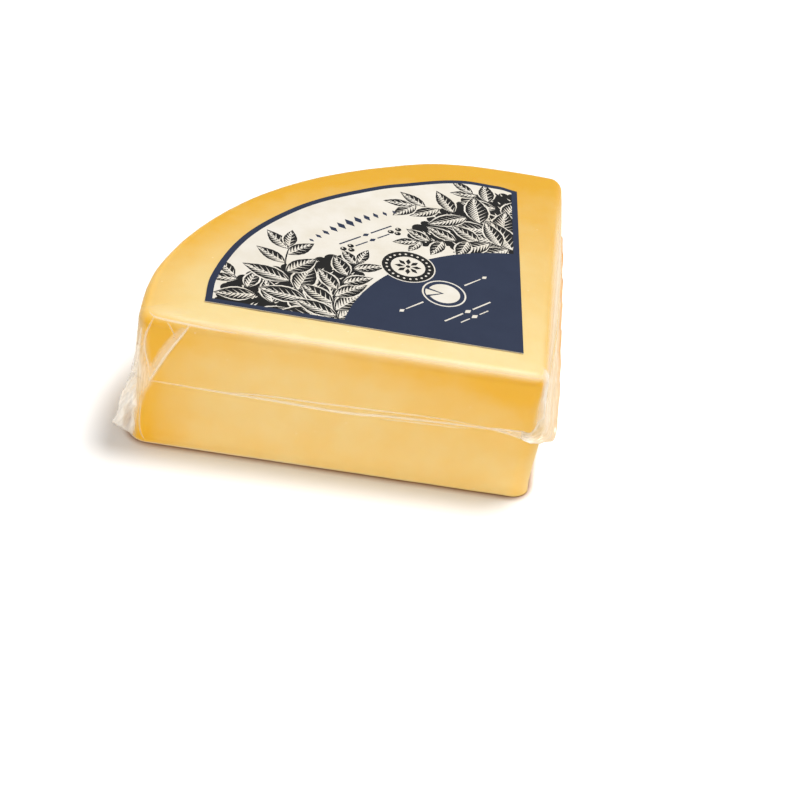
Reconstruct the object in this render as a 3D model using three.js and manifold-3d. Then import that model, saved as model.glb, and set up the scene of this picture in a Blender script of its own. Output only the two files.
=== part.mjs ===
// A quarter of a cheddar truckle, sealed in a clear vacuum pack, with a label on its top face.
// Millimetres, +Z up. While it is shaped, the truckle's axis is the origin: the front cut runs from it
// towards -X, the right cut runs towards the back, and the rind joins their far ends.
// At the end the part is set down with the middle of its base at the origin.
import * as THREE from 'three';
import { mergeVertices } from 'three/addons/utils/BufferGeometryUtils.js';
import Module from 'manifold-3d';

const wasm = await Module();
wasm.setup();

const { degToRad, smoothstep, lerp } = THREE.MathUtils;

// The cheese
const RIM_RADIUS = 185;
const HEIGHT = 70;
const CUT_ANGLE = degToRad(95);
const TOP_ROUND = 5.7;
const FOOT_ROUND = 1.2;
const APEX_ROUND = 7;
const BACK_ROUND = 6;
const LEFT_ROUND = 9;

// The rim runs a little short at the left end and swells towards the back
const LEFT_SHORTFALL = 3.5;
const LEFT_SHORTFALL_END = degToRad(14.5);
const RIM_BULGE = 2.6;
const BULGE_ANGLE = degToRad(73.5);
const BULGE_SPREAD_LEFT = degToRad(8);
const BULGE_SPREAD_BACK = degToRad(10);

// The walls are hand cut, so they wander a little, in a long slanting wave and a tall leaning one
const UNEVENNESS = 0.45;
const UNEVEN_LENGTH = 150;
const UNEVEN_SLANT = 0.7;
const UNEVEN_SHIFT = 0.8;
const UNEVEN_RISE = 95;
const UNEVEN_LEAN = 0.3;
const LONG_SHARE = 0.6;

// The right cut isn't square: it leans out below its upper edge, more so towards the back, and is upright
// below a height. The bend says whether it leans out soon (under 1) or late (over 1) on the way down.
const LEAN_OUT = [[0, 3.8], [0.15, 5], [0.5, 8.2], [0.7, 8.8], [0.88, 8.1], [1.1, 7.6]];
const LEAN_BEND = [[0, 1.6], [0.3, 1.3], [0.8, 1]];
const LEAN_LOW = 38;
const RIGHT_FACING = Math.PI / 2 - CUT_ANGLE;
const RIGHT_NORMAL = new THREE.Vector2(Math.cos(RIGHT_FACING), Math.sin(RIGHT_FACING));

// The welded seam of the pack stands out all round at half height. On the front cut it is folded down flat,
// and on the right cut the film is drawn from the wall above it to its edge, like a tent.
// A lap counts round the outline: 0 to 1 is the right cut, 1 to 2 the rim and 2 to 3 the front cut.
const SEAM_HEIGHTS = [[0, 39], [1, 36], [2, 36], [2.22, 35.9], [2.42, 38.4], [2.68, 40], [2.88, 39], [3, 39]];
const SEAM_REACH = [
  [0, 7.6], [0.05, 10], [0.25, 11], [0.6, 10.4], [0.8, 9.7], [0.93, 8.9], [1, 7], [1.06, 4.6], [1.2, 3.4],
  [1.6, 2.4], [1.9, 1.2], [1.98, 1.4], [2.06, 1], [2.87, 1], [2.9, 2.2], [2.937, 4], [2.965, 5.4], [3, 7.6],
];
const SEAM_FOLD = [[0, 0], [2.2, 0], [2.3, 2.2], [2.6, 4.6], [2.72, 4.4], [2.86, 1.2], [2.94, 1.6], [3, 0]];
const SEAM_TENT = [[0, 4], [0.03, 14], [0.12, 26], [0.4, 22], [0.6, 8], [1.1, 1.8], [2.98, 1.2], [3, 4]];
const SEAM_ROOT = 3;
const SEAM_UNDER_ROOT = 1.2;
const SEAM_UNDER_TENT = 0.4;
const SEAM_HALF_THICKNESS = 0.6;
const SEAM_SAG = 0.2;
const SEAM_WAVE = 0.7;
const SEAM_WAVES = 9;
const SEAM_FULL_REACH = 10;

// Where the section of the seam bends, as parts of its reach, and how much of the tent is left there
const SEAM_NECK = 0.12;
const SEAM_NECK_TENT = 0.5;
const SEAM_WAIST = 0.4;
const SEAM_WAIST_TENT = 0.1;

// How much of the fold's height its lip adds above the waist, above the edge, and below the waist
const FOLD_OVER_WAIST = 0.4;
const FOLD_OVER_EDGE = 0.7;
const FOLD_UNDER_WAIST = 0.6;

// The spare corner of the pack hangs from the left corner as a crumpled ear
const EAR_DIRECTION = new THREE.Vector2(-0.97, -0.24).normalize();
const EAR_START = new THREE.Vector2(-177, 3.8);
const EAR_REACH = [
  [0.6, 1], [1.6, 3.5], [4.4, 7.7], [6.6, 10.6], [8.6, 12.4], [14, 10.7], [18.5, 9.8], [26, 9],
  [31.5, 7.1], [37.5, 4.9], [47.5, 3.8], [60, 2.6], [68, 0.6],
];
const EAR_LEVELS = 17;
const EAR_LEVEL_EASE = 1.25;
const EAR_ROOT = 5;
const EAR_ROOT_HALF_WIDTH = 4;
const EAR_FOOT_HALF_WIDTH = 2.4;
const EAR_HALF_THICKNESS = 0.6;
const EAR_FULL_REACH = 12;
const EAR_BELLY = 0.55;
const EAR_BELLY_HALF_WIDTH = 1;
const EAR_CRUMPLE = 1.3;
const EAR_CRUMPLE_LENGTH = 17;

// The label is a quarter disc of stiff paper, stuck on the pack a little askew. Its arc isn't quite true:
// for turns in degrees from the front, this is its radius.
const LABEL_ARC = [
  [0, 143], [8, 144.6], [22, 145], [38, 143.9], [54, 143], [64, 143.9], [79, 147.3], [86, 145.3], [90, 142.8],
];
const LABEL_APEX = new THREE.Vector2(-11.5, 16.6);
const LABEL_TURN = degToRad(-0.7);
const LABEL_THICKNESS = 0.3;

// How finely the curves are cut
const STEPS_STRAIGHT_RIGHT = 26;
const STEPS_STRAIGHT_FRONT = 30;
const STEPS_RIM = 44;
const STEPS_CORNER = 7;
const STEPS_TOP = 4;
const STEPS_FOOT = 2;
const STEPS_WALL = 6;
const STEPS_LABEL_ARC = 48;
const CORNER_PASSES = 6;
const SLOPE_STEP = 0.01;
const MERGE_DISTANCE = 1e-4;

// Small helpers
const direction = (angle) => new THREE.Vector2(-Math.cos(angle), Math.sin(angle));
const facing = (angle) => new THREE.Vector2(Math.cos(angle), Math.sin(angle));

// Reads a short table of [place, value] stations, easing from one to the next.
function between(stations, place) {
  const next = stations.findIndex(([at]) => at >= place);
  if (next === 0) return stations[0][1];
  if (next < 0) return stations[stations.length - 1][1];
  const [fromAt, fromValue] = stations[next - 1];
  const [toAt, toValue] = stations[next];
  return lerp(fromValue, toValue, smoothstep(place, fromAt, toAt));
}

function rimRadius(angle) {
  const shortfall = LEFT_SHORTFALL * (1 - smoothstep(angle, 0, LEFT_SHORTFALL_END));
  const spread = angle < BULGE_ANGLE ? BULGE_SPREAD_LEFT : BULGE_SPREAD_BACK;
  const bulge = RIM_BULGE * Math.exp(-(((angle - BULGE_ANGLE) / spread) ** 2));
  return RIM_RADIUS - shortfall + bulge;
}

// The circle of a rounded corner, which touches a cut face and the rim from inside.
function rimCorner(cutAngle, side, radius) {
  let angle = cutAngle;
  let reach = 0;
  for (let pass = 0; pass < CORNER_PASSES; pass += 1) {
    reach = rimRadius(angle) - radius;
    angle = cutAngle + side * Math.asin(radius / reach);
  }
  return { angle, centre: direction(angle).multiplyScalar(reach) };
}

// The outline seen from above, anticlockwise from the tip: each sample has a place, a normal and a lap.
// The phase, from 0 to 1, shifts every sample along by that part of a step.
function makeOutline(phase) {
  const samples = [];
  const laps = [];
  const add = (count, sampleAt) => {
    for (let i = 0; i < count; i += 1) samples.push(sampleAt((i + phase) / count));
  };
  const addLine = (count, from, to, normal) => {
    add(count, (t) => ({ place: from.clone().lerp(to, t), normal }));
  };
  const addCorner = (centre, radius, fromAngle, toAngle) => {
    add(STEPS_CORNER, (t) => {
      const normal = facing(lerp(fromAngle, toAngle, t));
      return { place: centre.clone().addScaledVector(normal, radius), normal };
    });
    laps.push(samples.length - Math.ceil(STEPS_CORNER / 2));
  };

  const frontFacing = 1.5 * Math.PI;
  const frontNormal = facing(frontFacing);
  const back = rimCorner(CUT_ANGLE, -1, BACK_ROUND);
  const left = rimCorner(0, 1, LEFT_ROUND);
  const apexDistance = APEX_ROUND / Math.sin(CUT_ANGLE / 2);
  const apexCentre = direction(CUT_ANGLE / 2).multiplyScalar(apexDistance);

  addLine(STEPS_STRAIGHT_RIGHT, apexCentre.clone().addScaledVector(RIGHT_NORMAL, APEX_ROUND),
    back.centre.clone().addScaledVector(RIGHT_NORMAL, BACK_ROUND), RIGHT_NORMAL);
  addCorner(back.centre, BACK_ROUND, RIGHT_FACING, Math.PI - back.angle);
  add(STEPS_RIM, (t) => {
    const angle = lerp(back.angle, left.angle, t);
    const rise = rimRadius(angle + SLOPE_STEP) - rimRadius(angle - SLOPE_STEP);
    const slope = rise / (2 * SLOPE_STEP);
    const along = new THREE.Vector2(Math.sin(angle), Math.cos(angle));
    const radial = direction(angle);
    const normal = radial.clone().addScaledVector(along, -slope / rimRadius(angle)).normalize();
    return { place: radial.multiplyScalar(rimRadius(angle)), normal };
  });
  addCorner(left.centre, LEFT_ROUND, Math.PI - left.angle, frontFacing);
  addLine(STEPS_STRAIGHT_FRONT, left.centre.clone().addScaledVector(frontNormal, LEFT_ROUND),
    apexCentre.clone().addScaledVector(frontNormal, APEX_ROUND), frontNormal);
  addCorner(apexCentre, APEX_ROUND, frontFacing, RIGHT_FACING + 2 * Math.PI);

  // Laps are counted from the middle of each corner
  const count = samples.length;
  const [backMiddle, leftMiddle, apexMiddle] = laps;
  const knots = [apexMiddle - count, backMiddle, leftMiddle, apexMiddle];
  samples.forEach((sample, i) => {
    const at = i < apexMiddle ? i : i - count;
    const edge = knots.findIndex((knot, k) => at >= knot && at < knots[k + 1]);
    sample.lap = edge + (at - knots[edge]) / (knots[edge + 1] - knots[edge]);
  });
  return samples;
}

// The seam is sampled half a step away from the wall, so that their edges never meet
const wallOutline = makeOutline(0);
const seamOutline = makeOutline(0.5);

// How far a wall stands back from its true place. At the top it is nothing, so that the top edge stays true.
function wander({ place, normal, lap }, z) {
  const fade = Math.sin(Math.PI * z / HEIGHT);
  const turn = 2 * Math.PI;
  const long = Math.sin(turn * (place.x - UNEVEN_SLANT * place.y) / UNEVEN_LENGTH + UNEVEN_SHIFT);
  const tall = Math.sin(turn * (z + UNEVEN_LEAN * place.x) / UNEVEN_RISE);
  const depth = Math.min((HEIGHT - z) / (HEIGHT - LEAN_LOW), 1);
  const lapFromTip = lap > 2 ? 0 : lap;
  const lean = between(LEAN_OUT, lapFromTip) * depth ** between(LEAN_BEND, lapFromTip);
  const onRightCut = Math.max(normal.dot(RIGHT_NORMAL), 0) ** 2;
  return UNEVENNESS * fade * lerp(tall, long, LONG_SHARE) - lean * onRightCut;
}

// Joins rings of equal length into a closed surface. A looped one joins its last ring to its first,
// and any other is closed by a flat cap at each end.
function skin(rings, looped) {
  const size = rings[0].length;
  const positions = rings.flat().flatMap((point) => point.toArray());
  const index = [];
  const last = looped ? rings.length : rings.length - 1;
  for (let r = 0; r < last; r += 1) {
    const low = r * size;
    const high = ((r + 1) % rings.length) * size;
    for (let i = 0; i < size; i += 1) {
      const j = (i + 1) % size;
      index.push(low + i, low + j, high + j, low + i, high + j, high + i);
    }
  }
  if (!looped) {
    const flat = (ring) => ring.map((point) => new THREE.Vector2(point.x, point.y));
    const top = (rings.length - 1) * size;
    for (const [a, b, c] of THREE.ShapeUtils.triangulateShape(flat(rings[0]), [])) index.push(c, b, a);
    for (const [a, b, c] of THREE.ShapeUtils.triangulateShape(flat(rings[rings.length - 1]), [])) {
      index.push(top + a, top + b, top + c);
    }
  }
  const geometry = new THREE.BufferGeometry();
  geometry.setAttribute('position', new THREE.Float32BufferAttribute(positions, 3));
  geometry.setIndex(index);
  return geometry;
}

// The cheese with the film drawn tight on it: rings from the base up, with rounded edges.
function makeCheese() {
  const levels = [];
  for (let i = 0; i <= STEPS_FOOT; i += 1) {
    const turn = (i / STEPS_FOOT) * Math.PI / 2;
    levels.push([FOOT_ROUND * (1 - Math.sin(turn)), FOOT_ROUND * (1 - Math.cos(turn))]);
  }
  for (let i = 1; i < STEPS_WALL; i += 1) {
    levels.push([0, lerp(FOOT_ROUND, HEIGHT - TOP_ROUND, i / STEPS_WALL)]);
  }
  for (let i = STEPS_TOP; i >= 0; i -= 1) {
    const turn = (i / STEPS_TOP) * Math.PI / 2;
    levels.push([TOP_ROUND * (1 - Math.sin(turn)), HEIGHT - TOP_ROUND * (1 - Math.cos(turn))]);
  }
  return skin(levels.map(([inset, z]) => wallOutline.map((sample) => {
    const back = inset + wander(sample, z);
    return new THREE.Vector3(
      sample.place.x - back * sample.normal.x,
      sample.place.y - back * sample.normal.y,
      z,
    );
  })), false);
}

// The seam: a thin band round the wall, with a thicker root where the film leaves the cheese.
function makeSeam() {
  const section = (sample) => {
    const reach = between(SEAM_REACH, sample.lap);
    const fold = between(SEAM_FOLD, sample.lap);
    const tent = between(SEAM_TENT, sample.lap);
    const middle = between(SEAM_HEIGHTS, sample.lap);
    const wave = SEAM_WAVE * (reach / SEAM_FULL_REACH) * Math.sin(2 * Math.PI * SEAM_WAVES * sample.lap);
    const edge = wave - fold - SEAM_SAG * (reach - 1);
    const waist = SEAM_WAIST * edge;
    const thick = 2 * SEAM_HALF_THICKNESS;
    const profile = [
      [-SEAM_ROOT, tent],
      [SEAM_NECK * reach, SEAM_NECK_TENT * tent],
      [SEAM_WAIST * reach, waist + thick + SEAM_WAIST_TENT * tent + FOLD_OVER_WAIST * fold],
      [reach, edge + SEAM_HALF_THICKNESS + FOLD_OVER_EDGE * fold],
      [reach, edge - SEAM_HALF_THICKNESS],
      [SEAM_WAIST * reach, waist - thick - FOLD_UNDER_WAIST * fold],
      [-SEAM_ROOT, -SEAM_UNDER_ROOT - SEAM_UNDER_TENT * reach - fold],
    ];
    return profile.map(([out, rise]) => new THREE.Vector3(
      sample.place.x + out * sample.normal.x,
      sample.place.y + out * sample.normal.y,
      middle + rise,
    ));
  };
  return skin(seamOutline.map(section), true);
}

// The ear: a crumpled blade of doubled film, lofted from its foot up to the top edge.
function makeEar() {
  const aside = new THREE.Vector2(-EAR_DIRECTION.y, EAR_DIRECTION.x);
  const lowest = EAR_REACH[0][0];
  const highest = EAR_REACH[EAR_REACH.length - 1][0];
  const rings = [];
  for (let i = 0; i <= EAR_LEVELS; i += 1) {
    const z = lerp(lowest, highest, (i / EAR_LEVELS) ** EAR_LEVEL_EASE);
    const reach = between(EAR_REACH, z);
    const crumple = EAR_CRUMPLE * (reach / EAR_FULL_REACH) * Math.sin(2 * Math.PI * z / EAR_CRUMPLE_LENGTH);
    const half = [
      [-EAR_ROOT, EAR_ROOT_HALF_WIDTH, 0],
      [0, EAR_FOOT_HALF_WIDTH, 0],
      [EAR_BELLY * reach, EAR_BELLY_HALF_WIDTH, crumple],
      [reach, EAR_HALF_THICKNESS, -crumple],
    ];
    const near = half.map(([out, width, shift]) => [out, shift + width]);
    const far = half.map(([out, width, shift]) => [out, shift - width]);
    rings.push([...far, ...near.reverse()].map(([out, side]) => new THREE.Vector3(
      EAR_START.x + out * EAR_DIRECTION.x + side * aside.x,
      EAR_START.y + out * EAR_DIRECTION.y + side * aside.y,
      z,
    )));
  }
  return skin(rings, false);
}

// Turns a closed mesh into a solid and back
function toSolid(geometry) {
  const merged = mergeVertices(geometry, MERGE_DISTANCE);
  return new wasm.Manifold(new wasm.Mesh({
    numProp: 3,
    vertProperties: new Float32Array(merged.attributes.position.array),
    triVerts: new Uint32Array(merged.index.array),
  }));
}

function toGeometry(solid) {
  const mesh = solid.getMesh();
  const geometry = new THREE.BufferGeometry();
  geometry.setAttribute('position', new THREE.Float32BufferAttribute(mesh.vertProperties, 3));
  geometry.setIndex(new THREE.Uint32BufferAttribute(mesh.triVerts, 1));
  geometry.computeVertexNormals();
  return geometry;
}

function makeVacuumPack() {
  const solid = toSolid(makeCheese()).add(toSolid(makeSeam())).add(toSolid(makeEar()));
  const material = new THREE.MeshStandardMaterial({ color: '#f4c765', roughness: 0.3, metalness: 0 });
  const mesh = new THREE.Mesh(toGeometry(solid), material);
  mesh.name = 'vacuum_pack';
  return mesh;
}

function makeLabel() {
  const corners = [new THREE.Vector2(0, 0)];
  for (let i = STEPS_LABEL_ARC; i >= 0; i -= 1) {
    const turn = 90 * i / STEPS_LABEL_ARC;
    corners.push(direction(degToRad(turn)).multiplyScalar(between(LABEL_ARC, turn)));
  }
  const geometry = new THREE.ExtrudeGeometry(new THREE.Shape(corners), {
    depth: LABEL_THICKNESS,
    bevelEnabled: false,
  });
  const material = new THREE.MeshStandardMaterial({ color: '#3d4a63', roughness: 0.55, metalness: 0 });
  const mesh = new THREE.Mesh(geometry, material);
  mesh.name = 'label';
  mesh.position.set(LABEL_APEX.x, LABEL_APEX.y, HEIGHT);
  mesh.rotation.z = LABEL_TURN;
  return mesh;
}

const truckle = new THREE.Group();
truckle.add(makeVacuumPack(), makeLabel());

// Set the part down on the middle of its base
const middle = new THREE.Box3().setFromObject(truckle).getCenter(new THREE.Vector3());
truckle.position.set(-middle.x, -middle.y, 0);

export default truckle;
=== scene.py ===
# %% [markdown]
# A quarter of a cheddar truckle in its clear vacuum pack.
#
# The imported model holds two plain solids: the pack, cheese and film in one, and the label on top.
# This lesson dresses them. It makes the cheese, the clear film that was shrunk round it, and the printed
# label, and puts them under a soft studio light. Everything is worked out in millimetres from the truckle's
# own axis, the way the cheese was cut, and moved into the frame at the last moment.

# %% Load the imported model
import math
import random

import bpy
import numpy as np
from mathutils import Matrix, Vector, noise
from mathutils.geometry import delaunay_2d_cdt


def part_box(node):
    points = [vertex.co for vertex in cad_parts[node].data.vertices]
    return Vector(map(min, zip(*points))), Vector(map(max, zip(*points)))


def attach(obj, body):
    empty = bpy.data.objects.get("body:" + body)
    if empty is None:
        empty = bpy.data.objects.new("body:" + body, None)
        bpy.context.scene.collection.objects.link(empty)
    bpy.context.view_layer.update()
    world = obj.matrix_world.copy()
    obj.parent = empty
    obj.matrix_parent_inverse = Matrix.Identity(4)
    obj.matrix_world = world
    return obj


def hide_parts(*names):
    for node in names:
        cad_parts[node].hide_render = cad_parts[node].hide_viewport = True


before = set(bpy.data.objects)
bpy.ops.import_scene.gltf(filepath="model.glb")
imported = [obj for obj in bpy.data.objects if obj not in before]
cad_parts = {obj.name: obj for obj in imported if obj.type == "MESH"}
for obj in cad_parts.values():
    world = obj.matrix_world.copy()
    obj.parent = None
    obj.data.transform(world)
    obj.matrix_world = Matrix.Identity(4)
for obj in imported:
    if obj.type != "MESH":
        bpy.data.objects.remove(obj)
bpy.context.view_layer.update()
print("nodes of the frame:", sorted(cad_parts))

# %% [markdown]
# From the truckle's axis to the frame. The front cut and the right cut meet at the axis of the truckle, so
# that is the handy place to measure from. The label is stuck on at a known place, so its box in the frame
# says how far the axis lies from the frame's origin. Measuring it this way keeps the looks on the solids
# wherever they are set down.

# %% Place of the axis
MM = 0.001
LABEL_ARC = [(0, 143), (8, 144.6), (22, 145), (38, 143.9), (54, 143), (64, 143.9), (79, 147.3),
             (86, 145.3), (90, 142.8)]
LABEL_APEX = np.array([-11.5, 16.6])
LABEL_TURN = math.radians(-0.7)

label_low, label_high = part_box("label")
axis_in_frame = np.array([
    label_high.x / MM - LABEL_APEX[0] + LABEL_ARC[-1][1] * math.sin(LABEL_TURN),
    label_low.y / MM - LABEL_APEX[1],
    0.0,
])


def to_frame(points):
    """Moves points from millimetres round the truckle's axis to metres in the frame."""
    return (np.asarray(points, float) + axis_in_frame) * MM


print("the truckle's axis lies at", axis_in_frame.round(2), "mm in the frame")

# %% [markdown]
# The camera stands where the photographer stood, above the front cut and a little to its right, and it is
# rolled by about twelve degrees, which is why the cheese seems to lean. Its place and turns were fitted to
# the label's corners, the rim and the cut edges.

# %% Camera
CAMERA_PLACE = (-115.3, -505.0, 442.4)
CAMERA_AZIMUTH = math.radians(-5.926)
CAMERA_ELEVATION = math.radians(37.941)
CAMERA_ROLL = math.radians(12.365)
LENS = 65.25
SENSOR = 36.0
FAR_CLIP = 20.0


def make_camera():
    azimuth = CAMERA_AZIMUTH
    back = Vector((math.sin(azimuth) * math.cos(CAMERA_ELEVATION),
                   -math.cos(azimuth) * math.cos(CAMERA_ELEVATION),
                   math.sin(CAMERA_ELEVATION)))
    level = Vector((math.cos(azimuth), math.sin(azimuth), 0))
    over = back.cross(level)
    right = level * math.cos(CAMERA_ROLL) + over * math.sin(CAMERA_ROLL)
    up = over * math.cos(CAMERA_ROLL) - level * math.sin(CAMERA_ROLL)
    data = bpy.data.cameras.new("camera")
    data.lens = LENS
    data.sensor_width = SENSOR
    data.clip_end = FAR_CLIP
    camera = bpy.data.objects.new("camera", data)
    turned = Matrix((right, up, back)).transposed()
    camera.matrix_world = Matrix.Translation(to_frame(CAMERA_PLACE)) @ turned.to_4x4()
    bpy.context.scene.collection.objects.link(camera)
    bpy.context.scene.camera = camera
    return camera


print("camera at", [round(c, 3) for c in make_camera().location])

# %% [markdown]
# Colours are written as the hex values that a colour picker shows, and one function turns them into the
# linear light that the shaders work with. A second small function adds a node with its settings and links,
# so each material reads as a list of what it is made of.

# %% Colour and node helpers
GAMMA_KNEE = 0.04045


def linear(hex_colour):
    """Turns an sRGB hex colour into linear red, green, blue and alpha."""
    channels = [int(hex_colour[i:i + 2], 16) / 255 for i in (1, 3, 5)]
    light = [c / 12.92 if c <= GAMMA_KNEE else ((c + 0.055) / 1.055) ** 2.4 for c in channels]
    return (*light, 1.0)


def add_node(tree, kind, settings=None, inputs=None):
    """Adds a shader node. An input given as a socket is linked, and any other is set as a plain value."""
    made = tree.nodes.new("ShaderNode" + kind)
    for name, value in (settings or {}).items():
        setattr(made, name, value)
    for socket, value in (inputs or {}).items():
        if isinstance(value, bpy.types.NodeSocket):
            tree.links.new(value, made.inputs[socket])
        else:
            made.inputs[socket].default_value = value
    return made


def start_material(name):
    """Makes an empty material and returns it with its node tree and the place of each surface point."""
    material = bpy.data.materials.new(name)
    material.use_nodes = True
    tree = material.node_tree
    tree.nodes.clear()
    place = add_node(tree, "TexCoord").outputs["Object"]
    return material, tree, place


def finish_material(tree, shader):
    add_node(tree, "OutputMaterial", inputs={"Surface": shader.outputs[0]})


# %% [markdown]
# The outline of the quarter, seen from above. A wire drew the two straight cuts, and the rim is what is left
# of the round truckle. The rim isn't a true circle: it falls short at the left end and swells towards the
# back. The corners are softened by the film. The outline could be drawn by hand as a curve, but every later
# piece needs to know its place and its normal, so it is a function that samples it evenly.

# %% Sizes of the quarter
RIM_RADIUS = 185.0
HEIGHT = 70.0
CUT_ANGLE = math.radians(95)
TOP_ROUND = 5.7
FOOT_ROUND = 0.5
APEX_ROUND = 7.0
BACK_ROUND = 6.0
LEFT_ROUND = 9.0
LEFT_SHORTFALL = 3.5
LEFT_SHORTFALL_END = math.radians(14.5)
RIM_BULGE = 2.6
BULGE_ANGLE = math.radians(73.5)
BULGE_SPREAD_LEFT = math.radians(8)
BULGE_SPREAD_BACK = math.radians(10)
STEPS_STRAIGHT_RIGHT = 26
STEPS_STRAIGHT_FRONT = 30
STEPS_RIM = 44
STEPS_CORNER = 7
SLOPE_STEP = 0.01
CORNER_PASSES = 6


# %% Directions, easing and the rim
def toward(angle):
    """The direction from the axis at an angle from the front cut."""
    return np.array([-math.cos(angle), math.sin(angle)])


def facing(angle):
    """The direction at an angle anticlockwise from the right."""
    return np.array([math.cos(angle), math.sin(angle)])


def ease(value, low, high):
    """Rises smoothly from 0 at low to 1 at high."""
    t = np.clip((value - low) / (high - low), 0, 1)
    return t * t * (3 - 2 * t)


def between(stations, place):
    """Reads a short table of (place, value) stations, easing from one to the next."""
    at, value = np.array(stations, float).T
    k = np.clip(np.searchsorted(at, place), 1, len(at) - 1)
    return value[k - 1] + (value[k] - value[k - 1]) * ease(place, at[k - 1], at[k])


def rim_radius(angle):
    shortfall = LEFT_SHORTFALL * (1 - ease(angle, 0, LEFT_SHORTFALL_END))
    spread = BULGE_SPREAD_LEFT if angle < BULGE_ANGLE else BULGE_SPREAD_BACK
    return RIM_RADIUS - shortfall + RIM_BULGE * math.exp(-((angle - BULGE_ANGLE) / spread) ** 2)


def rim_corner(cut_angle, side, radius):
    """The circle of a rounded corner that touches a cut and the rim: its direction and its centre."""
    angle = cut_angle
    for _ in range(CORNER_PASSES):
        reach = rim_radius(angle) - radius
        angle = cut_angle + side * math.asin(radius / reach)
    return angle, toward(angle) * reach


# %% Walk round the outline
class Outline:
    """Evenly spaced samples, anticlockwise from the tip: places, outward normals, laps and millimetres run.

    A lap is 0 to 1 on the right cut, 1 to 2 on the rim and 2 to 3 on the front cut.
    """

    def __init__(self, fineness):
        self.fineness = fineness
        self.places = []
        self.normals = []
        self.middles = []
        right_facing = math.pi / 2 - CUT_ANGLE
        front_facing = 1.5 * math.pi
        right_normal = facing(right_facing)
        front_normal = facing(front_facing)
        back_angle, back_centre = rim_corner(CUT_ANGLE, -1, BACK_ROUND)
        left_angle, left_centre = rim_corner(0, 1, LEFT_ROUND)
        apex_centre = toward(CUT_ANGLE / 2) * APEX_ROUND / math.sin(CUT_ANGLE / 2)
        self.add_line(STEPS_STRAIGHT_RIGHT, apex_centre + right_normal * APEX_ROUND,
                      back_centre + right_normal * BACK_ROUND, right_normal)
        self.add_corner(back_centre, BACK_ROUND, right_facing, math.pi - back_angle)
        self.add(STEPS_RIM, lambda t: self.on_rim(back_angle + (left_angle - back_angle) * t))
        self.add_corner(left_centre, LEFT_ROUND, math.pi - left_angle, front_facing)
        self.add_line(STEPS_STRAIGHT_FRONT, left_centre + front_normal * LEFT_ROUND,
                      apex_centre + front_normal * APEX_ROUND, front_normal)
        self.add_corner(apex_centre, APEX_ROUND, front_facing, right_facing + 2 * math.pi)
        self.places = np.array(self.places)
        self.normals = np.array(self.normals)
        self.size = len(self.places)
        self.measure()

    def add(self, count, sample_at):
        for step in range(count * self.fineness):
            place, normal = sample_at(step / (count * self.fineness))
            self.places.append(place)
            self.normals.append(normal)

    def add_line(self, count, start, end, normal):
        self.add(count, lambda t: (start + (end - start) * t, normal))

    def add_corner(self, centre, radius, from_angle, to_angle):
        def sample_at(t):
            normal = facing(from_angle + (to_angle - from_angle) * t)
            return centre + radius * normal, normal
        self.middles.append(len(self.places) + STEPS_CORNER * self.fineness / 2)
        self.add(STEPS_CORNER, sample_at)

    def on_rim(self, angle):
        slope = (rim_radius(angle + SLOPE_STEP) - rim_radius(angle - SLOPE_STEP)) / (2 * SLOPE_STEP)
        along = np.array([math.sin(angle), math.cos(angle)])
        normal = toward(angle) - along * slope / rim_radius(angle)
        return toward(angle) * rim_radius(angle), normal / np.linalg.norm(normal)

    def measure(self):
        back, left, apex = self.middles
        index = np.arange(self.size)
        index = np.where(index < apex, index, index - self.size)
        self.laps = np.interp(index, [apex - self.size, back, left, apex], [0, 1, 2, 3])
        steps = np.linalg.norm(np.roll(self.places, -1, axis=0) - self.places, axis=1)
        self.run = np.concatenate([[0], np.cumsum(steps)[:-1]])
        self.length = steps.sum()


outline = Outline(fineness=4)
print("outline:", outline.size, "samples over", round(outline.length), "mm")

# %% [markdown]
# Nobody cuts cheese quite straight, so the walls stand back from their true place by up to half a
# millimetre, in long waves. The same waves are in the solid, and they fade out at the top and bottom. The
# right cut isn't square either: below its upper edge it leans out by a few millimetres, more so towards the
# back. The bend says whether it leans out soon (under 1) or late (over 1) on the way down.

# %% Hand-cut walls
UNEVENNESS = 0.45
UNEVEN_LENGTH = 150.0
UNEVEN_RISE = 95.0
UNEVEN_SLANT = 0.7
UNEVEN_SHIFT = 0.8
UNEVEN_LEAN = 0.3
LONG_SHARE = 0.6
LEAN_OUT = [(0, 3.8), (0.15, 5), (0.5, 8.2), (0.7, 8.8), (0.88, 8.1), (1.1, 7.6)]
LEAN_BEND = [(0, 1.6), (0.3, 1.3), (0.8, 1)]
LEAN_LOW = 38.0
RIGHT_NORMAL = facing(math.pi / 2 - CUT_ANGLE)


def wander(places, z):
    """How far the wall stands back at each place of the outline at a height."""
    slanted = places[:, 0] - UNEVEN_SLANT * places[:, 1]
    long_wave = np.sin(2 * math.pi * slanted / UNEVEN_LENGTH + UNEVEN_SHIFT)
    tall_wave = np.sin(2 * math.pi * (z + UNEVEN_LEAN * places[:, 0]) / UNEVEN_RISE)
    fade = np.sin(math.pi * z / HEIGHT)
    return UNEVENNESS * fade * (LONG_SHARE * long_wave + (1 - LONG_SHARE) * tall_wave)


def lean_out(laps, normals, z):
    """How far the right cut stands out at each place of the outline at a height."""
    laps_from_tip = np.where(laps > 2, 0, laps)
    depth = min((HEIGHT - z) / (HEIGHT - LEAN_LOW), 1)
    lean = between(LEAN_OUT, laps_from_tip) * depth ** between(LEAN_BEND, laps_from_tip)
    return lean * np.clip(normals @ RIGHT_NORMAL, 0, 1) ** 2


# %% [markdown]
# Both the cheese and the film that clings to it are one closed skin. It is built like a stack of rings:
# rings that grow from the middle of the base, rings that climb round the lower edge, up the wall and round
# the upper edge, and rings that shrink to the middle of the top. The foot is pressed out by under a
# millimetre, as the cheese has settled under its own weight. A box with bevels and subdivision would give the
# same outside, but rings keep even faces and give every point a known place along the outline and down the
# side, which the folds and the colours use.

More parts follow.
